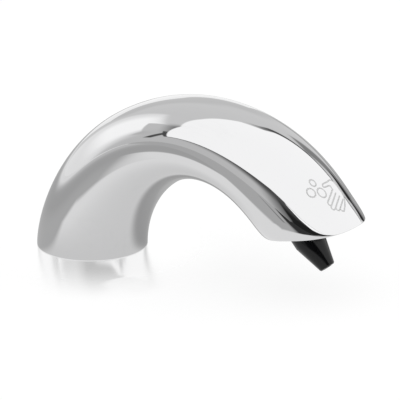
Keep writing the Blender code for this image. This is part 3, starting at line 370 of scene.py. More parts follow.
@dataclass(frozen=True)
class WorkedMetal(Finish):
    """Plain metal with the fine lines that machining or rolling leaves."""

    line_grain: float = 0.25 * MM
    stretch: Triple = (1.0, 0.06, 0.06)
    depth: float = 0.004 * MM
    line_roughness: float = 0.1
    patch_grain: float = 6.0 * MM
    patch_roughness: float = 0.12
    shade: float = 0.08

    def paint(self, graph: ShaderGraph) -> None:
        """Build a metal with stretched fine lines.

        Args:
            graph: The material's graph.
        """
        lines = graph.noise(self.line_grain, detail=3.0, stretch=self.stretch)
        patches = graph.noise(self.patch_grain)
        roughness = self.roughness + self.patch_roughness * patches
        graph.principled(
            {
                "Base Color": self.shades(graph, lines, self.shade),
                "Roughness": roughness + self.line_roughness * lines,
                "Metallic": 1.0,
                "Normal": graph.bump(lines, self.depth),
            }
        )


@dataclass(frozen=True)
class Moulding(Finish):
    """Moulded plastic or rubber with a fine spark-eroded grain."""

    grain: float = 0.18 * MM
    depth: float = 0.01 * MM
    gloss_change: float = 0.1
    coat: float = 0.0
    coat_roughness: float = 0.03
    shine: float = 0.5
    sink_grain: float = 7.0 * MM
    shade: float = 0.15

    def paint(self, graph: ShaderGraph) -> None:
        """Build a moulded surface with a fine grain and slight sink marks.

        Args:
            graph: The material's graph.
        """
        fine = graph.noise(self.grain)
        sink = graph.noise(self.sink_grain, detail=1.0)
        graph.principled(
            {
                "Base Color": self.shades(graph, sink, self.shade),
                "Roughness": self.roughness + self.gloss_change * (fine * sink),
                "Coat Weight": self.coat,
                "Coat Roughness": self.coat_roughness,
                "Specular IOR Level": self.shine,
                "Normal": graph.bump(fine, self.depth),
            }
        )


@dataclass(frozen=True)
class ClearPlastic(Finish):
    """Clear or tinted plastic that lets light through."""

    clearness: float = 0.8
    haze_grain: float = 3.0 * MM
    haze_roughness: float = 0.06
    shade: float = 0.06

    def paint(self, graph: ShaderGraph) -> None:
        """Build a clear surface with a slight haze.

        Args:
            graph: The material's graph.
        """
        haze = graph.noise(self.haze_grain)
        graph.principled(
            {
                "Base Color": self.shades(graph, haze, self.shade),
                "Roughness": self.roughness + self.haze_roughness * haze,
                "Transmission Weight": self.clearness,
            }
        )


@dataclass(frozen=True)
class BoardLacquer(Finish):
    """Green lacquer of a circuit board, with its copper tracks and tinned pads."""

    track_pitch: float = 1.1 * MM
    track_scale: float = 0.314
    track_shares: Pair = (0.6, 0.75)
    track_height: float = 0.03 * MM
    track: Colour = (0.05, 0.30, 0.12)
    pad_scale: float = 0.6
    pad_shares: Pair = (0.22, 0.26)
    pad_gloss: float = 0.1
    tin: Colour = (0.62, 0.62, 0.60)

    def paint(self, graph: ShaderGraph) -> None:
        """Build a board with tracks under the lacquer.

        Args:
            graph: The material's graph.
        """
        bands = {"wave_type": "BANDS", "bands_direction": "Y"}
        sockets = {"Vector": graph.place(), "Scale": self.track_scale / self.track_pitch, "Distortion": 0.0}
        wave = graph.node("ShaderNodeTexWave", bands, sockets, output="Fac")
        tracks = wave.ramp(*self.track_shares)
        sockets = {"Vector": graph.place(), "Scale": self.pad_scale / self.track_pitch}
        pads = 1.0 - graph.node("ShaderNodeTexVoronoi", sockets=sockets).ramp(*self.pad_shares)
        lacquer = graph.mix(tracks, self.colour, self.track)
        graph.principled(
            {
                "Base Color": graph.mix(pads, lacquer, self.tin),
                "Roughness": self.roughness - self.pad_gloss * pads,
                "Metallic": pads,
                "Normal": graph.bump(tracks, self.track_height),
            }
        )


@dataclass(frozen=True)
class EtchedMetal(Finish):
    """Plating that a laser has turned matt."""

    grain: float = 0.06 * MM
    grain_roughness: float = 0.15
    metal_share: float = 0.35
    shade: float = 0.1

    def paint(self, graph: ShaderGraph) -> None:
        """Build a matt metal with a fine grain.

        Args:
            graph: The material's graph.
        """
        grain = graph.noise(self.grain)
        graph.principled(
            {
                "Base Color": self.shades(graph, grain, self.shade),
                "Roughness": self.roughness + self.grain_roughness * grain,
                "Metallic": self.metal_share,
            }
        )


CHROME = PolishedPlating("polished_chrome", (0.65, 0.65, 0.655), 0.02)
STEEL = WorkedMetal("stainless_steel", (0.56, 0.56, 0.54), 0.24)
BRASS = WorkedMetal("nickel_brass", (0.60, 0.56, 0.46), 0.26, 0.3 * MM, (0.3, 0.3, 1.0))
GLOSS_BLACK = Moulding("gloss_black", (0.006, 0.006, 0.007), 0.09, 0.3 * MM, 0.001 * MM, 0.06, shine=0.25)
SATIN_BLACK = Moulding("satin_black", (0.020, 0.020, 0.022), 0.38)
WINDOW = Moulding("infrared_window", (0.030, 0.004, 0.010), 0.05, 0.4 * MM, 0.0, 0.03, coat=1.0)
RUBBER = Moulding("black_rubber", (0.025, 0.025, 0.026), 0.65, 0.12 * MM, 0.02 * MM)
NATURAL = Moulding("natural_moulding", (0.72, 0.72, 0.68), 0.36, 0.2 * MM, 0.005 * MM)
LEAD = Moulding("grey_lead", (0.16, 0.16, 0.17), 0.50, 0.15 * MM, 0.01 * MM)
TUBE = ClearPlastic("clear_tube", (0.85, 0.87, 0.86), 0.12)
CLEAR_LENS = ClearPlastic("clear_lens", (0.60, 0.64, 0.75), 0.06)
DARK_LENS = ClearPlastic("dark_lens", (0.04, 0.025, 0.06), 0.06, 0.4)
BOARD = BoardLacquer("circuit_board", (0.02, 0.16, 0.07), 0.40)
ETCHED = EtchedMetal("etched_line", (0.60, 0.60, 0.60), 0.55)


# Modelling helpers
def deselect() -> None:
    """Leave edit mode and deselect everything."""
    if bpy.context.object and bpy.context.object.mode != "OBJECT":
        bpy.ops.object.mode_set(mode="OBJECT")
    bpy.ops.object.select_all(action="DESELECT")


def pick(piece: bpy.types.Object) -> None:
    """Make one piece the selected and active one.

    Args:
        piece: The piece.
    """
    deselect()
    piece.select_set(True)
    bpy.context.view_layer.objects.active = piece


def new_ring(name: str, sides: int, radius: float, height: float = 0.0) -> bpy.types.Object:
    """Start a piece as a ring of points about Z.

    Args:
        name: The piece's name.
        sides: How many points go round.
        radius: The ring's radius.
        height: Its height.

    Returns:
        The piece, in edit mode with the ring selected.
    """
    deselect()
    bpy.ops.mesh.primitive_circle_add(vertices=sides, radius=radius, location=(0.0, 0.0, 0.0))
    piece = bpy.context.object
    piece.name = name
    bpy.ops.object.mode_set(mode="EDIT")
    bpy.ops.mesh.select_all(action="SELECT")
    bpy.ops.transform.translate(value=(0.0, 0.0, height))
    return piece


def close_tube() -> None:
    """Bridge the two open ends of the piece in edit mode and point its faces outwards."""
    bpy.ops.mesh.select_mode(type="VERT")
    bpy.ops.mesh.select_all(action="DESELECT")
    bpy.ops.mesh.select_non_manifold()
    bpy.ops.mesh.bridge_edge_loops()
    bpy.ops.mesh.select_all(action="SELECT")
    bpy.ops.mesh.normals_make_consistent(inside=False)


def turned_piece(name: str, outline: Outline, sides: int, edge: float) -> bpy.types.Object:
    """Turn a closed outline into a piece about its own Z.

    Args:
        name: The piece's name.
        outline: Radius and height of each corner, down the outside and up the bore.
        sides: How many facets go round.
        edge: Radius that its corners are rounded to.

    Returns:
        The piece, out of edit mode.
    """
    radius, height = outline[0]
    piece = new_ring(name, sides, radius, height)
    for next_radius, next_height in outline[1:]:
        rise = {"value": (0.0, 0.0, next_height - height)}
        bpy.ops.mesh.extrude_region_move(TRANSFORM_OT_translate=rise)
        scale = next_radius / radius
        bpy.ops.transform.resize(value=(scale, scale, 1.0))
        radius, height = next_radius, next_height
    close_tube()
    bpy.ops.mesh.select_all(action="DESELECT")
    bpy.ops.mesh.select_mode(type="EDGE")
    bpy.ops.mesh.edges_select_sharp(sharpness=math.radians(CORNER_ANGLE))
    bpy.ops.mesh.bevel(offset=edge, segments=3, affect="EDGES")
    bpy.ops.object.mode_set(mode="OBJECT")
    return piece


def finish_piece(piece: bpy.types.Object, place: Matrix, crease_angle: float = CREASE_ANGLE) -> None:
    """Put a piece in its place, with the place in its mesh, and shade it smooth.

    Args:
        piece: The piece, out of edit mode.
        place: Where it goes.
        crease_angle: Angle in degrees from which its edges stay sharp.
    """
    pick(piece)
    piece.matrix_world = place @ piece.matrix_world
    bpy.ops.object.transform_apply(location=True, rotation=True, scale=True)
    bpy.ops.object.shade_smooth_by_angle(angle=math.radians(crease_angle))


def dress(piece: bpy.types.Object, finish: Finish) -> None:
    """Give every material slot of a piece its finish.

    Args:
        piece: The piece.
        finish: Its finish.
    """
    if not piece.material_slots:
        piece.data.materials.append(finish.material())
    for holder in piece.material_slots:
        holder.material = finish.material()


def fit(piece: bpy.types.Object, body: str, slot: Slot, finish: Finish, *nodes: str) -> None:
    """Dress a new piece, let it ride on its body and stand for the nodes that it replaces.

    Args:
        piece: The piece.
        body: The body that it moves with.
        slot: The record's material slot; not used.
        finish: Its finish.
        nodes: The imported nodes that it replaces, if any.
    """
    dress(piece, finish)
    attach(piece, body)
    if nodes:
        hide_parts(*nodes)
    LOG.info("%s rides on %s, %d faces", piece.name, body, len(piece.data.polygons))


def placed(*place: float) -> Vector:
    """Return a dataclass field that starts as a vector."""
    return field(default_factory=lambda: Vector(place))


def bezier(controls: list[Vector] | list[float], share: float) -> Vector | float:
    """Find a place on a Bezier curve.

    Args:
        controls: The curve's control points, or numbers.
        share: How far along the curve, from 0 to 1.

    Returns:
        The point, or number, at that place.
    """
    last = len(controls) - 1
    total = controls[0] * 0.0
    for index, control in enumerate(controls):
        weight = math.comb(last, index) * share**index * (1.0 - share) ** (last - index)
        total = total + control * weight
    return total


def bezier_slope(controls: list[Vector], share: float) -> Vector:
    """Return the unit direction of a Bezier curve at a share of the way along it."""
    steps = [later - earlier for earlier, later in zip(controls, controls[1:])]
    return bezier(steps, share).normalized()


def leaning(start: Vector, angle: float, pull: float) -> Vector:
    """Return the point a pull away from start, at an angle in degrees in the side view."""
    turn = math.radians(angle)
    return start + Vector((math.cos(turn), math.sin(turn))) * pull


def squared(share: float, roundness: float) -> float:
    """Return a sine or cosine pushed outwards, the more so the further roundness is over 2."""
    return math.copysign(abs(share) ** (2.0 / roundness), share)


def along(start: Pair, end: Pair, share: float) -> Pair:
    """Return the point at a share of the straight way from start to end."""
    return blend(start[0], end[0], share), blend(start[1], end[1], share)


def heading(azimuth: float, elevation: float = 0.0) -> Vector:
    """Return the unit direction of an azimuth and an elevation in degrees."""
    turn, rise = math.radians(azimuth), math.radians(elevation)
    return Vector((math.cos(turn) * math.cos(rise), math.sin(turn) * math.cos(rise), math.sin(rise)))


# The casting
@dataclass
class SpoutCasting:
    """The polished hollow arch, between two lines in the side view, with rounded rims.

    Each leg and lean is an angle in degrees and the length of a line's end handle. The
    shares run along the spout, from 0 at its foot to 1 at its tip.
    """

    foot_radius: float = 26.0 * MM
    back_leg: Pair = (90.0, 22.7 * MM)
    back_shoulder: Vector = placed(14.8 * MM, 138.4 * MM)
    back_brow: Vector = placed(120.5 * MM, 73.7 * MM)
    nose: Vector = placed(142.6 * MM, 34.6 * MM)
    nose_lean: Pair = (-37.0, 30.5 * MM)
    inner_leg: Pair = (90.5, 29.1 * MM)
    inner_shoulder: Vector = placed(49.0 * MM, 49.5 * MM)
    inner_brow: Vector = placed(78.2 * MM, 52.2 * MM)
    heel: Vector = placed(101.1 * MM, 26.0 * MM)
    heel_lean: Pair = (-58.7, 22.2 * MM)
    half_widths: tuple[float, ...] = (26.0 * MM, 25.0 * MM, 24.2 * MM, 26.7 * MM, 29.3 * MM, 22.6 * MM)
    roundness_shares: tuple[float, ...] = (2.0, 2.25, 2.56, 2.59)
    wall: float = 2.5 * MM
    lip: float = 1.6 * MM
    nose_lip: float = 0.4 * MM
    nose_lip_power: int = 3
    lip_length: float = 11.0 * MM
    inner_lip: float = 0.5 * MM
    inner_reach: float = 8.0 * MM
    inner_share: float = 0.93
    foot_edge: float = 0.35 * MM
    lanes: int = 208
    outer_rings: int = 150
    inner_rings: int = 40
    inner_steps: int = 4
    lip_rings: int = 12
    piece: bpy.types.Object | None = None

    def back_line(self) -> list[Vector]:
        """Return the handles of the line up the back, over the crown and down to the nose."""
        ends = (Vector((-self.foot_radius, 0.0)), self.back_leg, self.nose_lean, self.nose)
        return self.line(*ends, self.back_shoulder, self.back_brow)

    def inner_line(self) -> list[Vector]:
        """Return the handles of the line up the front of the leg and under the arch."""
        ends = (Vector((self.foot_radius, 0.0)), self.inner_leg, self.heel_lean, self.heel)
        return self.line(*ends, self.inner_shoulder, self.inner_brow)

    @staticmethod
    def line(foot: Vector, leg: Pair, lean: Pair, tip: Vector, *middle: Vector) -> list[Vector]:
        """Return a line's handles, from its foot and leg by its middle to its lean and tip."""
        angle, pull = lean
        return [foot, leaning(foot, *leg), *middle, leaning(tip, angle, -pull), tip]

    def ring(self, top: Vector, under: Vector, half_width: float, roundness: float) -> Ring:
        """Place the points of one section on a rounded outline.

        Args:
            top: Where the section meets the back line.
            under: Where it meets the inner line.
            half_width: Half the section's width.
            roundness: The outline's power, which is 2 for an ellipse.

        Returns:
            A point for each lane, from the top round by +Y.
        """
        centre = (top + under) / 2
        half = (top - under) / 2
        points = []
        for index in range(self.lanes):
            angle = math.tau * index / self.lanes
            spot = centre + half * squared(math.cos(angle), roundness)
            points.append(Vector((spot.x, half_width * squared(math.sin(angle), roundness), spot.y)))
        return points

    def section(self, share: float, inset: float = 0.0) -> Ring:
        """Cut the spout across its lines.

        Args:
            share: How far along the spout.
            inset: How far the ring lies inside the outer surface.

        Returns:
            The ring.
        """
        top_way = bezier_slope(self.back_line(), share)
        under_way = bezier_slope(self.inner_line(), share)
        top = bezier(self.back_line(), share) + Vector((top_way.y, -top_way.x)) * inset
        under = bezier(self.inner_line(), share) + Vector((-under_way.y, under_way.x)) * inset
        half_width = bezier(list(self.half_widths), share) - inset
        return self.ring(top, under, half_width, bezier(list(self.roundness_shares), share))

    def rim_section(self, inset: float) -> Ring:
        """Cut the spout in the plane of its slanted rim.

        Args:
            inset: How far the ring lies inside the outer surface.

        Returns:
            The ring.
        """
        rim_way = (self.heel - self.nose).normalized()
        nose_way = bezier_slope(self.back_line(), 1.0)
        heel_way = bezier_slope(self.inner_line(), 1.0)
        top = self.nose + rim_way * (inset / math.sin(rim_way.angle(-nose_way)))
        under = self.heel - rim_way * (inset / math.sin(rim_way.angle(heel_way)))
        return self.ring(top, under, self.half_widths[-1] - inset, self.roundness_shares[-1])

    def lip_section(self) -> Ring:
        """Find where the rounded lip ends in the rim's plane, narrowest at the nose.

        Returns:
            The ring.
        """
        turns = [math.tau * lane / self.lanes for lane in range(self.lanes)]
        shares = [max(0.0, math.cos(turn)) ** self.nose_lip_power for turn in turns]
        wide, narrow = self.rim_section(self.lip), self.rim_section(self.nose_lip)
        return [first.lerp(last, share) for first, last, share in zip(wide, narrow, shares)]

    @staticmethod
    def between(rings: list[Ring], share: float) -> Ring:
        """Return the ring at a share of the curve that two or three rings steer, lane by lane."""
        return [bezier(list(points), share) for points in zip(*rings)]

    def rounded(self, rings: list[Ring]) -> list[Ring]:
        """Return rings of a rounded edge from the first ring, past the corner, to the last."""
        return [self.between(rings, step / self.lip_rings) for step in range(self.lip_rings + 1)]

    def rings(self) -> list[Ring]:
        """Cut all rings of the wall.

        Returns:
            The rings up the outside, round the rim and back down the inside.
        """
        step = 1.0 / self.outer_rings
        degree = len(self.back_line()) - 1
        foot_share = self.foot_edge / (degree * self.back_leg[1])
        lip_share = 1.0 - self.lip_length / (degree * (self.nose_lean[1] + self.heel_lean[1]) / 2)
        rings = self.rounded([self.section(0.0, self.foot_edge), self.section(0.0), self.section(foot_share)])
        shares = [index * step for index in range(1, self.outer_rings)]
        rings += [self.section(share) for share in shares if foot_share * 2 < share < lip_share - step / 3]
        rings += self.rounded([self.section(lip_share), self.section(1.0), self.lip_section()])
        inside = self.section(self.inner_share, self.wall)
        corner = self.rim_section(self.wall)
        inner_start = self.between([corner, inside], self.inner_lip / self.inner_reach)
        rings += self.rounded([self.rim_section(self.wall - self.inner_lip), corner, inner_start])
        for index in range(1, self.inner_steps):
            rings.append(self.between([inner_start, inside], index / self.inner_steps))
        for index in range(self.inner_rings):
            rings.append(self.section(self.inner_share * (1.0 - index / self.inner_rings), self.wall))
        return rings + [self.flat(self.section(0.0, self.wall))]

    @staticmethod
    def flat(points: Ring) -> Ring:
        """Return the same ring with every point on the deck."""
        return [Vector((point.x, point.y, 0.0)) for point in points]

    def build(self) -> None:
        """Extrude the wall ring by ring, and close it at the foot."""
        self.piece = new_ring("polished_casting", self.lanes, self.foot_radius)
        mesh = bmesh.from_edit_mesh(self.piece.data)
        lane = mesh.verts.layers.int.new("lane")
        for index, vertex in enumerate(mesh.verts):
            vertex[lane] = index
        for number, points in enumerate(self.rings()):
            if number:
                bpy.ops.mesh.extrude_region_move()
            self.move_ring(points)
        close_tube()
        bpy.ops.object.mode_set(mode="OBJECT")
        finish_piece(self.piece, Matrix.Identity(4), ROUND_CREASE_ANGLE)

    def move_ring(self, points: Ring) -> None:
        """Put the selected ring's points where a section has them.

        Args:
            points: The section's point for each lane.
        """
        mesh = bmesh.from_edit_mesh(self.piece.data)
        lane = mesh.verts.layers.int["lane"]
        for vertex in mesh.verts:
            if vertex.select:
                vertex.co = points[vertex[lane]]
        bmesh.update_edit_mesh(self.piece.data)

    def dress(self) -> None:
        """Plate the casting."""
        fit(self.piece, ROOT, Slot.CHROME, CHROME, "spout_shell")

    def land(self, start: Vector, way: Vector) -> tuple[Vector, Vector]:
        """Return where a line from start meets the casting, and the surface's normal there."""
        found, place, normal, _ = self.piece.ray_cast(start, way)
        return (place, normal) if found else (start, -way)


# The pictogram
@dataclass
class Pictogram:
    """An etched sign on the brow: an open hand with three bubbles beside its thumb.

    Its lines are given down the slope and across it from the sign's centre. Those
    of the hand run along and across its fingers, which lean down the slope.
    """

    casting: SpoutCasting
    centre: Vector = placed(128.0 * MM, 0.0, 48.2 * MM)
    slope: float = 45.0
    line_radius: float = 0.90 * MM
    line_facets: int = 6
    sink: float = 0.80 * MM
    step: float = 0.35 * MM
    merge_gap: float = 0.001 * MM
    bubbles: tuple[Triple, ...] = (
        (-6.6 * MM, -5.2 * MM, 1.7 * MM),
        (-3.1 * MM, -10.0 * MM, 2.2 * MM),
        (-0.9 * MM, -4.3 * MM, 2.4 * MM),
    )
    finger_lean: float = 26.0
    finger_width: float = 2.15 * MM
    first_edge: float = 1.45 * MM
    finger_root: float = -3.0 * MM
    finger_ends: tuple[float, ...] = (6.0 * MM, 7.0 * MM, 5.5 * MM, 3.9 * MM)
    fingertip_steps: int = 8
    thumb: tuple[Pair, ...] = (
        (-8.9 * MM, 1.4 * MM),
        (-8.4 * MM, -1.2 * MM),
        (-5.6 * MM, -1.8 * MM),
        (-1.6 * MM, -4.0 * MM),
        (-0.2 * MM, -2.9 * MM),
        (-2.2 * MM, -1.6 * MM),
        (-4.9 * MM, -0.2 * MM),
        (-3.4 * MM, 1.6 * MM),
    )
    palm: tuple[Pair, ...] = (
        (-2.0 * MM, 9.4 * MM),
        (-6.0 * MM, 7.4 * MM),
        (-8.9 * MM, 1.4 * MM),
    )
    corner_cut: float = 0.25
    corner_rounds: int = 3
    piece: bpy.types.Object | None = None

    def bubble_line(self, down: float, across: float, radius: float) -> Outline:
        """Draw one bubble.

        Args:
            down: Place of its centre down the slope.
            across: Place of its centre across the slope.
            radius: Its radius.

        Returns:
            Points round it.
        """
        count = math.ceil(math.tau * radius / self.step)
        turns = [math.tau * index / count for index in range(count)]
        return [(down + radius * math.cos(turn), across + radius * math.sin(turn)) for turn in turns]

    def finger_edge(self, index: int) -> float:
        """Return the place across the hand of the edge before a finger."""
        return self.first_edge + self.finger_width * index

    def fingertip(self, index: int) -> Outline:
        """Draw the round end of one finger.

        Args:
            index: The finger's number, from 0 beside the thumb.

        Returns:
            Points of half a circle.
        """
        radius = self.finger_width / 2
        middle = self.finger_edge(index) + radius
        turns = [math.pi * part / self.fingertip_steps for part in range(self.fingertip_steps + 1)]
        end = self.finger_ends[index]
        return [(end + radius * math.sin(turn), middle - radius * math.cos(turn)) for turn in turns]

    def hand_lines(self) -> list[Outline]:
        """Draw the hand.

        Returns:
            Its outline and the lines between its fingers.
        """
        count = len(self.finger_ends)
        outline = self.smooth_run(list(self.thumb))
        for index in range(count):
            outline += self.fingertip(index)
        outline += self.smooth_run([outline[-1], *self.palm])
        lines = [outline]
        for index in range(1, count):
            edge = self.finger_edge(index)
            end = min(self.finger_ends[index - 1], self.finger_ends[index])
            lines.append([(self.finger_root, edge), (end, edge)])
        return [self.filled([self.leaned(*point) for point in line]) for line in lines]

    def smooth_run(self, points: Outline) -> Outline:
        """Smooth a line by cutting its corners a few times.

        Args:
            points: The line's points.

        Returns:
            A smooth line near them, with the same ends.
        """
        for _ in range(self.corner_rounds):
            cut = []
            for start, end in zip(points, points[1:]):
                cut += [along(start, end, self.corner_cut), along(start, end, 1.0 - self.corner_cut)]
            points = [points[0], *cut, points[-1]]
        return points

    def leaned(self, forward: float, across: float) -> Pair:
        """Lean a point of the hand.

        Args:
            forward: Its place along the fingers.
            across: Its place across them.

        Returns:
            Its place down the slope and across it.
        """
        turn = math.radians(self.finger_lean)
        down = forward * math.sin(turn) + across * math.cos(turn)
        return down, across * math.sin(turn) - forward * math.cos(turn)

    def filled(self, points: Outline) -> Outline:
        """Fill a line up, so that it can follow the surface.

        Args:
            points: The line's points.

        Returns:
            The same line with a point at least every step.
        """
        line = [points[0]]
        for start, end in zip(points, points[1:]):
            count = max(1, math.ceil(math.dist(start, end) / self.step))
            line += [along(start, end, index / count) for index in range(1, count + 1)]
        return line

    def on_surface(self, line: Outline) -> list[Vector]:
        """Lay a line on the casting and sink it a little.

        Args:
            line: Its points, down the slope and across it.

        Returns:
            Its points in the frame.
        """
        downhill = heading(0.0, -self.slope)
        outward = heading(0.0, 90.0 - self.slope)
        laid = []
        for down, across in line:
            start = self.centre + downhill * down + Vector((0.0, across, 0.0))
            place, normal = self.casting.land(start + outward * self.casting.foot_radius, -outward)
            laid.append(place - normal * self.sink)
        return laid

    def build(self) -> None:
        """Lay each line of the sign on the casting as a thin, half-sunk thread."""
        curve = bpy.data.curves.new("etched_pictogram", "CURVE")
        curve.dimensions = "3D"
        curve.bevel_depth = self.line_radius
        curve.bevel_resolution = self.line_facets
        curve.use_fill_caps = True
        for bubble in self.bubbles:
            self.add_line(curve, self.bubble_line(*bubble), closed=True)
        for line in self.hand_lines():
            self.add_line(curve, line, closed=False)
        self.piece = bpy.data.objects.new("etched_pictogram", curve)
        bpy.context.scene.collection.objects.link(self.piece)
        pick(self.piece)
        bpy.ops.object.convert(target="MESH")
        self.piece = bpy.context.object
        bpy.ops.object.mode_set(mode="EDIT")
        bpy.ops.mesh.select_all(action="SELECT")
        bpy.ops.mesh.remove_doubles(threshold=self.merge_gap)
        bpy.ops.mesh.normals_make_consistent(inside=False)
        bpy.ops.object.mode_set(mode="OBJECT")
        finish_piece(self.piece, Matrix.Identity(4), ROUND_CREASE_ANGLE)

    def add_line(self, curve: bpy.types.Curve, line: Outline, closed: bool) -> None:
        """Add one line of the sign to the curve.

        Args:
            curve: The curve.
            line: The line's points, down the slope and across it.
            closed: Whether its end joins its start.
        """
        points = self.on_surface(line)
        spline = curve.splines.new("POLY")
        spline.points.add(len(points) - 1)
        spline.use_cyclic_u = closed
        for knot, point in zip(spline.points, points):
            knot.co = (*point, 1.0)

    def dress(self) -> None:
        """Etch the sign."""
        fit(self.piece, ROOT, Slot.CHROME, ETCHED)


# The nozzle
@dataclass
class OutletNozzle:
    """The tapered black plug that soap leaves by, about its own leaning axis."""

    outlet: Vector = placed(128.5 * MM, 0.0, 13.4 * MM)
    lean: float = 41.0
    outlet_radius: float = 3.7 * MM
    chamfer: float = 0.5 * MM
    bore_radius: float = 2.2 * MM
    bore_depth: float = 8.0 * MM
    throat_radius: float = 1.2 * MM
    radius: float = 7.2 * MM
    taper_length: float = 14.0 * MM
    shoulder: float = 30.2 * MM
    spigot_radius: float = 5.4 * MM
    spigot_top: float = 39.2 * MM
    spigot_chamfer: float = 0.6 * MM
    groove_radius: float = 3.9 * MM
    groove: Pair = (33.6 * MM, 35.4 * MM)
    chamber_radius: float = 2.6 * MM
    chamber_gap: float = 0.3 * MM
    sides: int = 96
    edge: float = 0.12 * MM
    piece: bpy.types.Object | None = None

    def outline(self) -> Outline:
        """Draw half of the nozzle's section.

        Returns:
            Corners down the outside, from the spigot to the outlet, and up the bore.
        """
        floor = self.chamber_floor()
        low, high = self.groove
        return [
            (self.spigot_radius - self.spigot_chamfer, self.spigot_top),
            (self.spigot_radius, self.spigot_top - self.spigot_chamfer),
            (self.spigot_radius, high),
            (self.groove_radius, high),
            (self.groove_radius, low),
            (self.spigot_radius, low),
            (self.spigot_radius, self.shoulder),
            (self.radius, self.shoulder),
            (self.radius, self.taper_length),
            (self.outlet_radius, self.chamfer),
            (self.outlet_radius - self.chamfer, 0.0),
            (self.bore_radius, 0.0),
            (self.bore_radius, self.bore_depth),
            (self.throat_radius, self.bore_depth + self.bore_radius),
            (self.throat_radius, floor),
            (self.chamber_radius, floor),
            (self.chamber_radius, self.spigot_top),
        ]

    def axis(self) -> Vector:
        """Return the direction of the nozzle's axis, from its outlet up into the tip."""
        return heading(180.0, 90.0 - self.lean)

    def chamber_floor(self) -> float:
        """Return the height of the valve chamber's floor, just below the spring."""
        points = [Vector(vertex.co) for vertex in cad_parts["valve_spring"].data.vertices]
        return min((point - self.outlet).dot(self.axis()) for point in points) - self.chamber_gap

    def place(self) -> Matrix:
        """Return the place and lean of the nozzle's axis."""
        return Matrix.Translation(self.outlet) @ Matrix.Rotation(math.radians(-self.lean), 4, "Y")

    def build(self) -> None:
        """Turn the nozzle and lean it into the tip."""
        self.piece = turned_piece("outlet_nozzle", self.outline(), self.sides, self.edge)
        finish_piece(self.piece, self.place())

    def dress(self) -> None:
        """Give the nozzle its glossy black finish."""
        fit(self.piece, NOZZLE_UNIT, Slot.GLOSS_BLACK, GLOSS_BLACK, "nozzle")


# The valve's spring
@dataclass
class ValveSpring:
    """The coil that holds the check ball on its seat, about the nozzle's axis."""

    nozzle: OutletNozzle
    coil_radius: float = 1.5 * MM
    wire_radius: float = 0.22 * MM
    turns: int = 6
    bottom: float = 26.85 * MM
    top: float = 33.25 * MM
    steps: int = 32
    sides: int = 12
    travel: float = 1.2 * MM
    piece: bpy.types.Object | None = None

    def build(self) -> None:
        """Sweep the wire's round section up the coil, and close both ends."""
        deselect()
        foot = self.bottom + self.wire_radius
        bpy.ops.mesh.primitive_circle_add(
            vertices=self.sides,
            radius=self.wire_radius,
            location=(self.coil_radius, 0.0, foot),
            rotation=(math.pi / 2, 0.0, 0.0),
        )
        self.piece = bpy.context.object
        self.piece.name = "valve_coil"
        pick(self.piece)
        bpy.ops.object.transform_apply(location=True, rotation=True, scale=True)
        coil = self.piece.modifiers.new("coil", "SCREW")
        coil.iterations = self.turns
        coil.screw_offset = (self.top - self.wire_radius - foot) / self.turns
        coil.steps = self.steps
        coil.render_steps = self.steps
        bpy.ops.object.modifier_apply(modifier="coil")
        bpy.ops.object.mode_set(mode="EDIT")
        bpy.ops.mesh.select_all(action="SELECT")
        bpy.ops.mesh.fill_holes(sides=self.sides)
        bpy.ops.mesh.normals_make_consistent(inside=False)
        bpy.ops.object.mode_set(mode="OBJECT")
        finish_piece(self.piece, self.nozzle.place(), ROUND_CREASE_ANGLE)

    def dress(self) -> None:
        """Give the spring its bright wire finish."""
        fit(self.piece, NOZZLE_UNIT, Slot.STEEL, STEEL, "valve_spring")
        up = self.nozzle.axis()
        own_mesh(self.piece)


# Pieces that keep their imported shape
@dataclass
class CarriedPieces:
    """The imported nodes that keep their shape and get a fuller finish."""

    finishes: dict[Slot, Finish] = field(
        default_factory=lambda: {
            Slot.CHROME: CHROME,
            Slot.STEEL: STEEL,
            Slot.BRASS: BRASS,
            Slot.GLOSS_BLACK: GLOSS_BLACK,
            Slot.SATIN_BLACK: SATIN_BLACK,
            Slot.WINDOW: WINDOW,
            Slot.RUBBER: RUBBER,
            Slot.NATURAL: NATURAL,
            Slot.TUBE: TUBE,
            Slot.LEAD: LEAD,
            Slot.BOARD: BOARD,
            Slot.CLEAR_LENS: CLEAR_LENS,
            Slot.DARK_LENS: DARK_LENS,
        }
    )

    def dress(self) -> None:
        """Give each node the finish of the slot that it was packed with."""
        for name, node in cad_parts.items():
            slot = Slot(node.material_slots[0].material.name.split(".")[0])
            dress(node, self.finishes[slot])
            LOG.info("%s keeps its shape in %s", name, slot.value)


# The studio
@dataclass(frozen=True)
class SoftPanel:
    """A soft light or a dark flag far away, as seen from the spout, in degrees."""

    azimuth: float
    elevation: float
    width: float
    height: float
    level: float
    soft: float = 3.0
    turn: float = 0.0
    least_depth: float = 0.01
    full_depth: float = 0.05

    def cover(self, way: Signal) -> Signal:
        """Find where directions meet the panel.

        Args:
            way: The direction looked at.

        Returns:
            1 on the panel, fading to 0 at its soft edges.
        """
        front = heading(self.azimuth, self.elevation)
        right = heading(self.azimuth + 90.0)
        right.rotate(Matrix.Rotation(math.radians(self.turn), 3, front))
        depth = way.dot(front)
        ahead = depth.high(self.least_depth)
        across = self.within(way.dot(right) / ahead, self.width)
        rise = self.within(way.dot(front.cross(right)) / ahead, self.height)
        return across * rise * depth.ramp(0.0, self.full_depth)

    def within(self, offset: Signal, span: float) -> Signal:
        """Return 1 where an offset from the panel's middle is inside its span, and 0 outside."""
        half = math.tan(math.radians(span / 2))
        return 1.0 - offset.size().ramp(half - math.tan(math.radians(self.soft)), half)


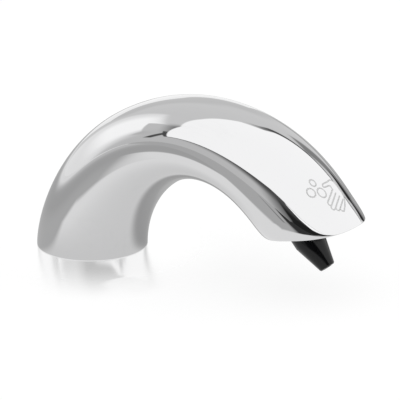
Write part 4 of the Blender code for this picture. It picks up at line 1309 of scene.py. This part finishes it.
@dataclass(frozen=True)
class CeilingLight:
    """The large light overhead, with straight edges and dark frames at its two ends.

    It is drawn on a flat ceiling one unit up. Each of its lines there is a slope and
    an offset.
    """

    level: float = 1.35
    frame_level: float = 0.10
    near_lines: tuple[Pair, Pair, Pair] = ((0.15, 0.50), (0.28, 0.55), (0.66, 0.42))
    left_line: Pair = (0.52, 0.91)
    front_line: Pair = (0.535, 1.32)
    front_limit: float = -1.045
    edge: Pair = (-0.01, 0.02)
    frame_outside: Pair = (-0.11, -0.08)
    frame_inside: Pair = (-0.01, 0.01)
    back_frame: Pair = (1.2, 1.5)
    front_frame: Pair = (-1.2, -1.0)
    least_rise: float = 0.02
    full_rise: float = 0.06

    def added(self, way: Signal, level: Signal) -> Signal:
        """Add the light and its frames to what is there.

        Args:
            way: The direction looked at.
            level: The light level without them.

        Returns:
            The light level with them.
        """
        east, north, up = way.parts()
        rise = up.high(self.least_rise)
        east, north = east / rise, north / rise
        first, second, third = (self.on_line(north, line) for line in self.near_lines)
        left_edge = first.low(second).low(third).high(self.on_line(north, self.left_line))
        front_edge = self.on_line(east, self.front_line).low(self.front_limit)
        inside = (east - left_edge).low(north - front_edge)
        frames = north.ramp(*self.back_frame).high(1.0 - north.ramp(*self.front_frame))
        dark = inside.ramp(*self.frame_outside) * (1.0 - inside.ramp(*self.frame_inside)) * frames
        lit = inside.ramp(*self.edge) * up.ramp(0.0, self.full_rise)
        return blend(blend(level, self.frame_level, dark), self.level, lit)

    @staticmethod
    def on_line(place: Signal, line: Pair) -> Signal:
        """Return where a line of the ceiling runs at a place."""
        slope, offset = line
        return place * slope - offset


@dataclass(frozen=True)
class PaintedTableLight:
    """Painted light and shade on the table as the plating mirrors them, in millimetres from the foot."""

    light: Pair = (0.85, 1.02)
    light_reach: Pair = (30.0, 85.0)
    grey: float = 0.50
    far_grey: float = 0.70
    far_reach: Pair = (250.0, 900.0)
    left_spread: float = 0.7
    left_reach: Pair = (300.0, 1200.0)
    back_grey: float = 0.38
    back_y: Pair = (120.0, 160.0)
    back_x: Pair = (-90.0, -30.0)
    foot_grey: float = 0.57
    foot_centre: Pair = (-30.0, -60.0)
    foot_reach: Pair = (30.0, 150.0)
    shade_level: float = 0.46
    shade_centre: Pair = (33.0, 24.0)
    shade_reach: Pair = (9.0, 26.0)
    edge: float = 8.0
    left_edge: float = -42.0
    near_edge: float = -165.0
    back_edge: float = 8.0
    back_end: float = 100.0
    bite: Pair = (-13.0, -98.0)
    bite_way: Pair = (0.78, 0.62)
    toe_line: Pair = (0.6, 2.0)
    notch: Pair = (158.0, 44.0)
    notch_levels: Pair = (0.56, 0.02)
    notch_fade: Pair = (118.0, 140.0)
    notch_edge: float = 1.0
    thin_line: Pair = (0.28, 150.0)
    thin_width: Pair = (3.0, 12.0)
    thin_near: Pair = (-160.0, -120.0)
    thin_far: Pair = (-800.0, -400.0)
    thin_depth: float = 0.5

    def level(self, graph: ShaderGraph) -> Signal:
        """Find the painted light level at each place of the table.

        Args:
            graph: The table's graph.

        Returns:
            The level.
        """
        x, y, _ = graph.place().parts()
        x, y = x / MM, y / MM
        middle = self.reach(x, y, 0.0, 0.0)
        light = blend(*self.light, middle.ramp(*self.light_reach))
        # Painted grey shade on the table, lighter or darker from zone to zone.
        grey = blend(self.grey, self.far_grey, middle.ramp(*self.far_reach))
        left = 0.0 - x - y.size() * self.left_spread
        grey = blend(grey, 1.0, left.ramp(*self.left_reach))
        grey = blend(grey, self.back_grey, y.ramp(*self.back_y) * x.ramp(*self.back_x))
        foot = self.reach(x, y, *self.foot_centre)
        grey = blend(grey, self.foot_grey, 1.0 - foot.ramp(*self.foot_reach))
        level = blend(grey, light, self.sheet(x, y).ramp(-self.edge, self.edge))
        # Painted shade on the table in front of the leg, under the arch.
        shade = self.reach(x, y, *self.shade_centre).ramp(*self.shade_reach)
        return self.notched(x, y, blend(self.shade_level, level, shade))

    def sheet(self, x: Signal, y: Signal) -> Signal:
        """Measure how far a place lies inside the painted light sheet's straight edges.

        Args:
            x: The place along X.
            y: The place along Y.

        Returns:
            The distance, below 0 outside.
        """
        bite_x, bite_y = self.bite
        way_x, way_y = self.bite_way
        slope, offset = self.toe_line
        left = (x - self.left_edge).low(y - bite_y)
        left = left.high((x - bite_x) * way_x - (y - bite_y) * way_y).low(x - y * slope - offset)
        back = (self.back_edge - y).high(x - self.back_end)
        return left.low(y - self.near_edge).low(back)

    def notched(self, x: Signal, y: Signal, level: Signal) -> Signal:
        """Cut the painted dark notch below the brow, with the painted thin line in it.

        Args:
            x: The place along X.
            y: The place along Y.
            level: The light level without the notch.

        Returns:
            The light level with it.
        """
        near, right = self.notch
        slope, offset = self.thin_line
        outside = (near - x + y).high(x + y - right).ramp(-self.edge, self.notch_edge)
        dark = blend(*self.notch_levels, x.ramp(*self.notch_fade))
        line = 1.0 - (x - y * slope - offset).size().ramp(*self.thin_width)
        line = line * (1.0 - y.ramp(*self.thin_near)) * y.ramp(*self.thin_far)
        return blend(dark * (1.0 - self.thin_depth * line), level, outside)

    @staticmethod
    def reach(x: Signal, y: Signal, centre_x: float, centre_y: float) -> Signal:
        """Return the distance from a centre."""
        across, away = x - centre_x, y - centre_y
        return (across * across + away * away).root()


@dataclass
class Studio:
    """A pale table under a large soft light, with softer panels, flags and a card round it."""

    base_level: float = 0.81
    plain_share: float = 0.8
    panels: tuple[SoftPanel, ...] = (
        SoftPanel(130.0, 10.0, 50.0, 37.0, 0.70, 9.0),
        SoftPanel(190.0, 20.0, 64.0, 60.0, 1.06, 8.0, -15.0),
        SoftPanel(192.0, 28.0, 52.0, 48.0, 1.35, 16.0, -15.0),
        SoftPanel(221.0, 34.0, 24.0, 38.0, 0.74, 1.5, 38.0),
        SoftPanel(219.0, 20.0, 12.0, 12.0, 0.58, 4.0),
        SoftPanel(246.0, 12.0, 38.0, 38.0, 0.74, 2.0),
        SoftPanel(250.0, 2.0, 84.0, 90.0, 0.70, 24.0),
        SoftPanel(308.0, 6.0, 84.0, 84.0, 0.12, 34.0, -20.0),
        SoftPanel(311.0, 14.0, 44.0, 84.0, 0.02, 4.0, -22.0),
        SoftPanel(272.0, 50.0, 90.0, 64.0, 0.10, 22.0),
        SoftPanel(17.0, 25.0, 117.0, 80.0, 1.45, 4.0),
        SoftPanel(335.0, 4.0, 70.0, 28.0, 0.02, 4.0, -15.0),
        SoftPanel(101.0, 0.0, 28.0, 14.0, 0.40, 4.0),
        SoftPanel(90.0, 14.0, 12.0, 26.0, 0.30, 3.0, -12.0),
        SoftPanel(85.0, 6.0, 9.0, 22.0, 0.03, 2.0),
        SoftPanel(226.0, 18.5, 3.5, 19.0, 0.10, 1.0),
    )
    ceiling: CeilingLight = CeilingLight()
    floor_size: float = 12.0
    floor_sides: int = 96
    floor_share: float = 0.8
    white_level: float = 1.05
    shadow_share: float = 0.22
    open_light: float = 1.05
    sheen: float = 0.50
    sheen_roughness: float = 0.22
    sheen_reach: Pair = (30.0 * MM, 80.0 * MM)
    wall_light: float = 1.11
    mirrored_share: float = 0.05
    # Painted light and shade that the plating sees on the table.
    painted_table_light: PaintedTableLight = PaintedTableLight()
    card_size: Pair = (230.0 * MM, 80.0 * MM)
    card_place: Pair = (230.0 * MM, 85.0 * MM)
    card_level: float = 1.10
    lens: float = 204.5
    sensor_width: float = 36.0
    clip_start: float = 0.01
    distance: float = 1.02364
    target: Vector = placed(63.05 * MM, -3.16 * MM, 33.34 * MM)
    azimuth: float = 33.85
    elevation: float = 18.28

    def build_world(self) -> None:
        """Light the spout with panels that the plating mirrors, before a white background."""
        world = bpy.data.worlds.new("pale_studio")
        bpy.context.scene.world = world
        graph = ShaderGraph(world)
        way = graph.node("ShaderNodeTexCoord", output="Generated")
        level = self.base_level
        for panel in self.panels:
            level = blend(level, panel.level, panel.cover(way))
        seen, mirrored = graph.rays()
        level = self.ceiling.added(way, level) * blend(self.plain_share, 1.0, mirrored)
        sockets = {"Color": WHITE, "Strength": blend(level, 1.0, seen)}
        graph.node_output("ShaderNodeOutputWorld", graph.node("ShaderNodeBackground", sockets=sockets))

    def build_floor(self) -> None:
        """Lay a pale table with the spout's shadow, and its mirror image close to the foot."""
        deselect()
        bpy.ops.mesh.primitive_circle_add(vertices=self.floor_sides, radius=self.floor_size, fill_type="NGON")
        floor = bpy.context.object
        floor.name = "pale_floor"
        material = bpy.data.materials.new("pale_floor")
        graph = ShaderGraph(material)
        seen, mirrored = graph.rays()
        # Mirrored rays see the table glow with painted light and shade.
        surface = graph.blend_surfaces(mirrored, graph.diffuse(self.floor_share), self.mirrored_table(graph))
        surface = graph.blend_surfaces(seen, surface, self.seen_table(graph))
        graph.node_output("ShaderNodeOutputMaterial", surface)
        floor.data.materials.append(material)

    def seen_table(self, graph: ShaderGraph) -> Signal:
        """Make the table as the camera sees it.

        Args:
            graph: The table's graph.

        Returns:
            A white surface with a shadow, and a faint mirror image close to the foot.
        """
        pale = graph.diffuse(self.shadow_share)
        pale = graph.glowing(pale, self.white_level - self.shadow_share * self.open_light)
        glossy = graph.glossy(self.sheen, self.sheen_roughness)
        glossy = graph.glowing(glossy, self.white_level - self.sheen * self.wall_light)
        return graph.blend_surfaces(graph.place().length().ramp(*self.sheen_reach), glossy, pale)

    def mirrored_table(self, graph: ShaderGraph) -> Signal:
        """Return the table as the plating mirrors it, glowing with its painted light and shade."""
        level = self.painted_table_light.level(graph) - self.mirrored_share * self.open_light
        return graph.glowing(graph.diffuse(self.mirrored_share), level.high(0.0))

    def build_card(self) -> None:
        """Stand a low white card behind the spout, which only glossy surfaces see."""
        width, height = self.card_size
        distance, rise = self.card_place
        deselect()
        turn = math.radians(self.azimuth)
        bpy.ops.mesh.primitive_plane_add(size=1.0, rotation=(math.pi / 2, 0.0, turn))
        card = bpy.context.object
        card.name = "white_card"
        card.scale = (width, height, 1.0)
        card.location = heading(self.azimuth + 90.0) * distance + Vector((0.0, 0.0, rise))
        material = bpy.data.materials.new("white_card")
        graph = ShaderGraph(material)
        graph.node_output("ShaderNodeOutputMaterial", graph.glow(self.card_level))
        card.data.materials.append(material)
        card.visible_camera = False
        card.visible_diffuse = False
        card.visible_transmission = False
        card.visible_shadow = False

    def build_camera(self) -> None:
        """Aim the camera from the left front and a little above."""
        back = heading(self.azimuth - 90.0, self.elevation)
        data = bpy.data.cameras.new("studio_camera")
        data.lens = self.lens
        data.sensor_width = self.sensor_width
        data.clip_start = self.clip_start
        camera = bpy.data.objects.new("studio_camera", data)
        camera.location = self.target + back * self.distance
        camera.rotation_euler = (-back).to_track_quat("-Z", "Y").to_euler()
        bpy.context.scene.collection.objects.link(camera)
        bpy.context.scene.camera = camera
        bpy.context.scene.view_settings.view_transform = "Standard"


def main() -> None:
    """Build the pieces, dress them and set up the studio."""
    logging.basicConfig(level=logging.INFO, format="%(message)s")
    CarriedPieces().dress()
    casting = SpoutCasting()
    nozzle = OutletNozzle()
    for part in (casting, Pictogram(casting), nozzle, ValveSpring(nozzle)):
        part.build()
        part.dress()
    studio = Studio()
    studio.build_world()
    studio.build_floor()
    studio.build_card()
    studio.build_camera()


if __name__ == "__main__":
    main()
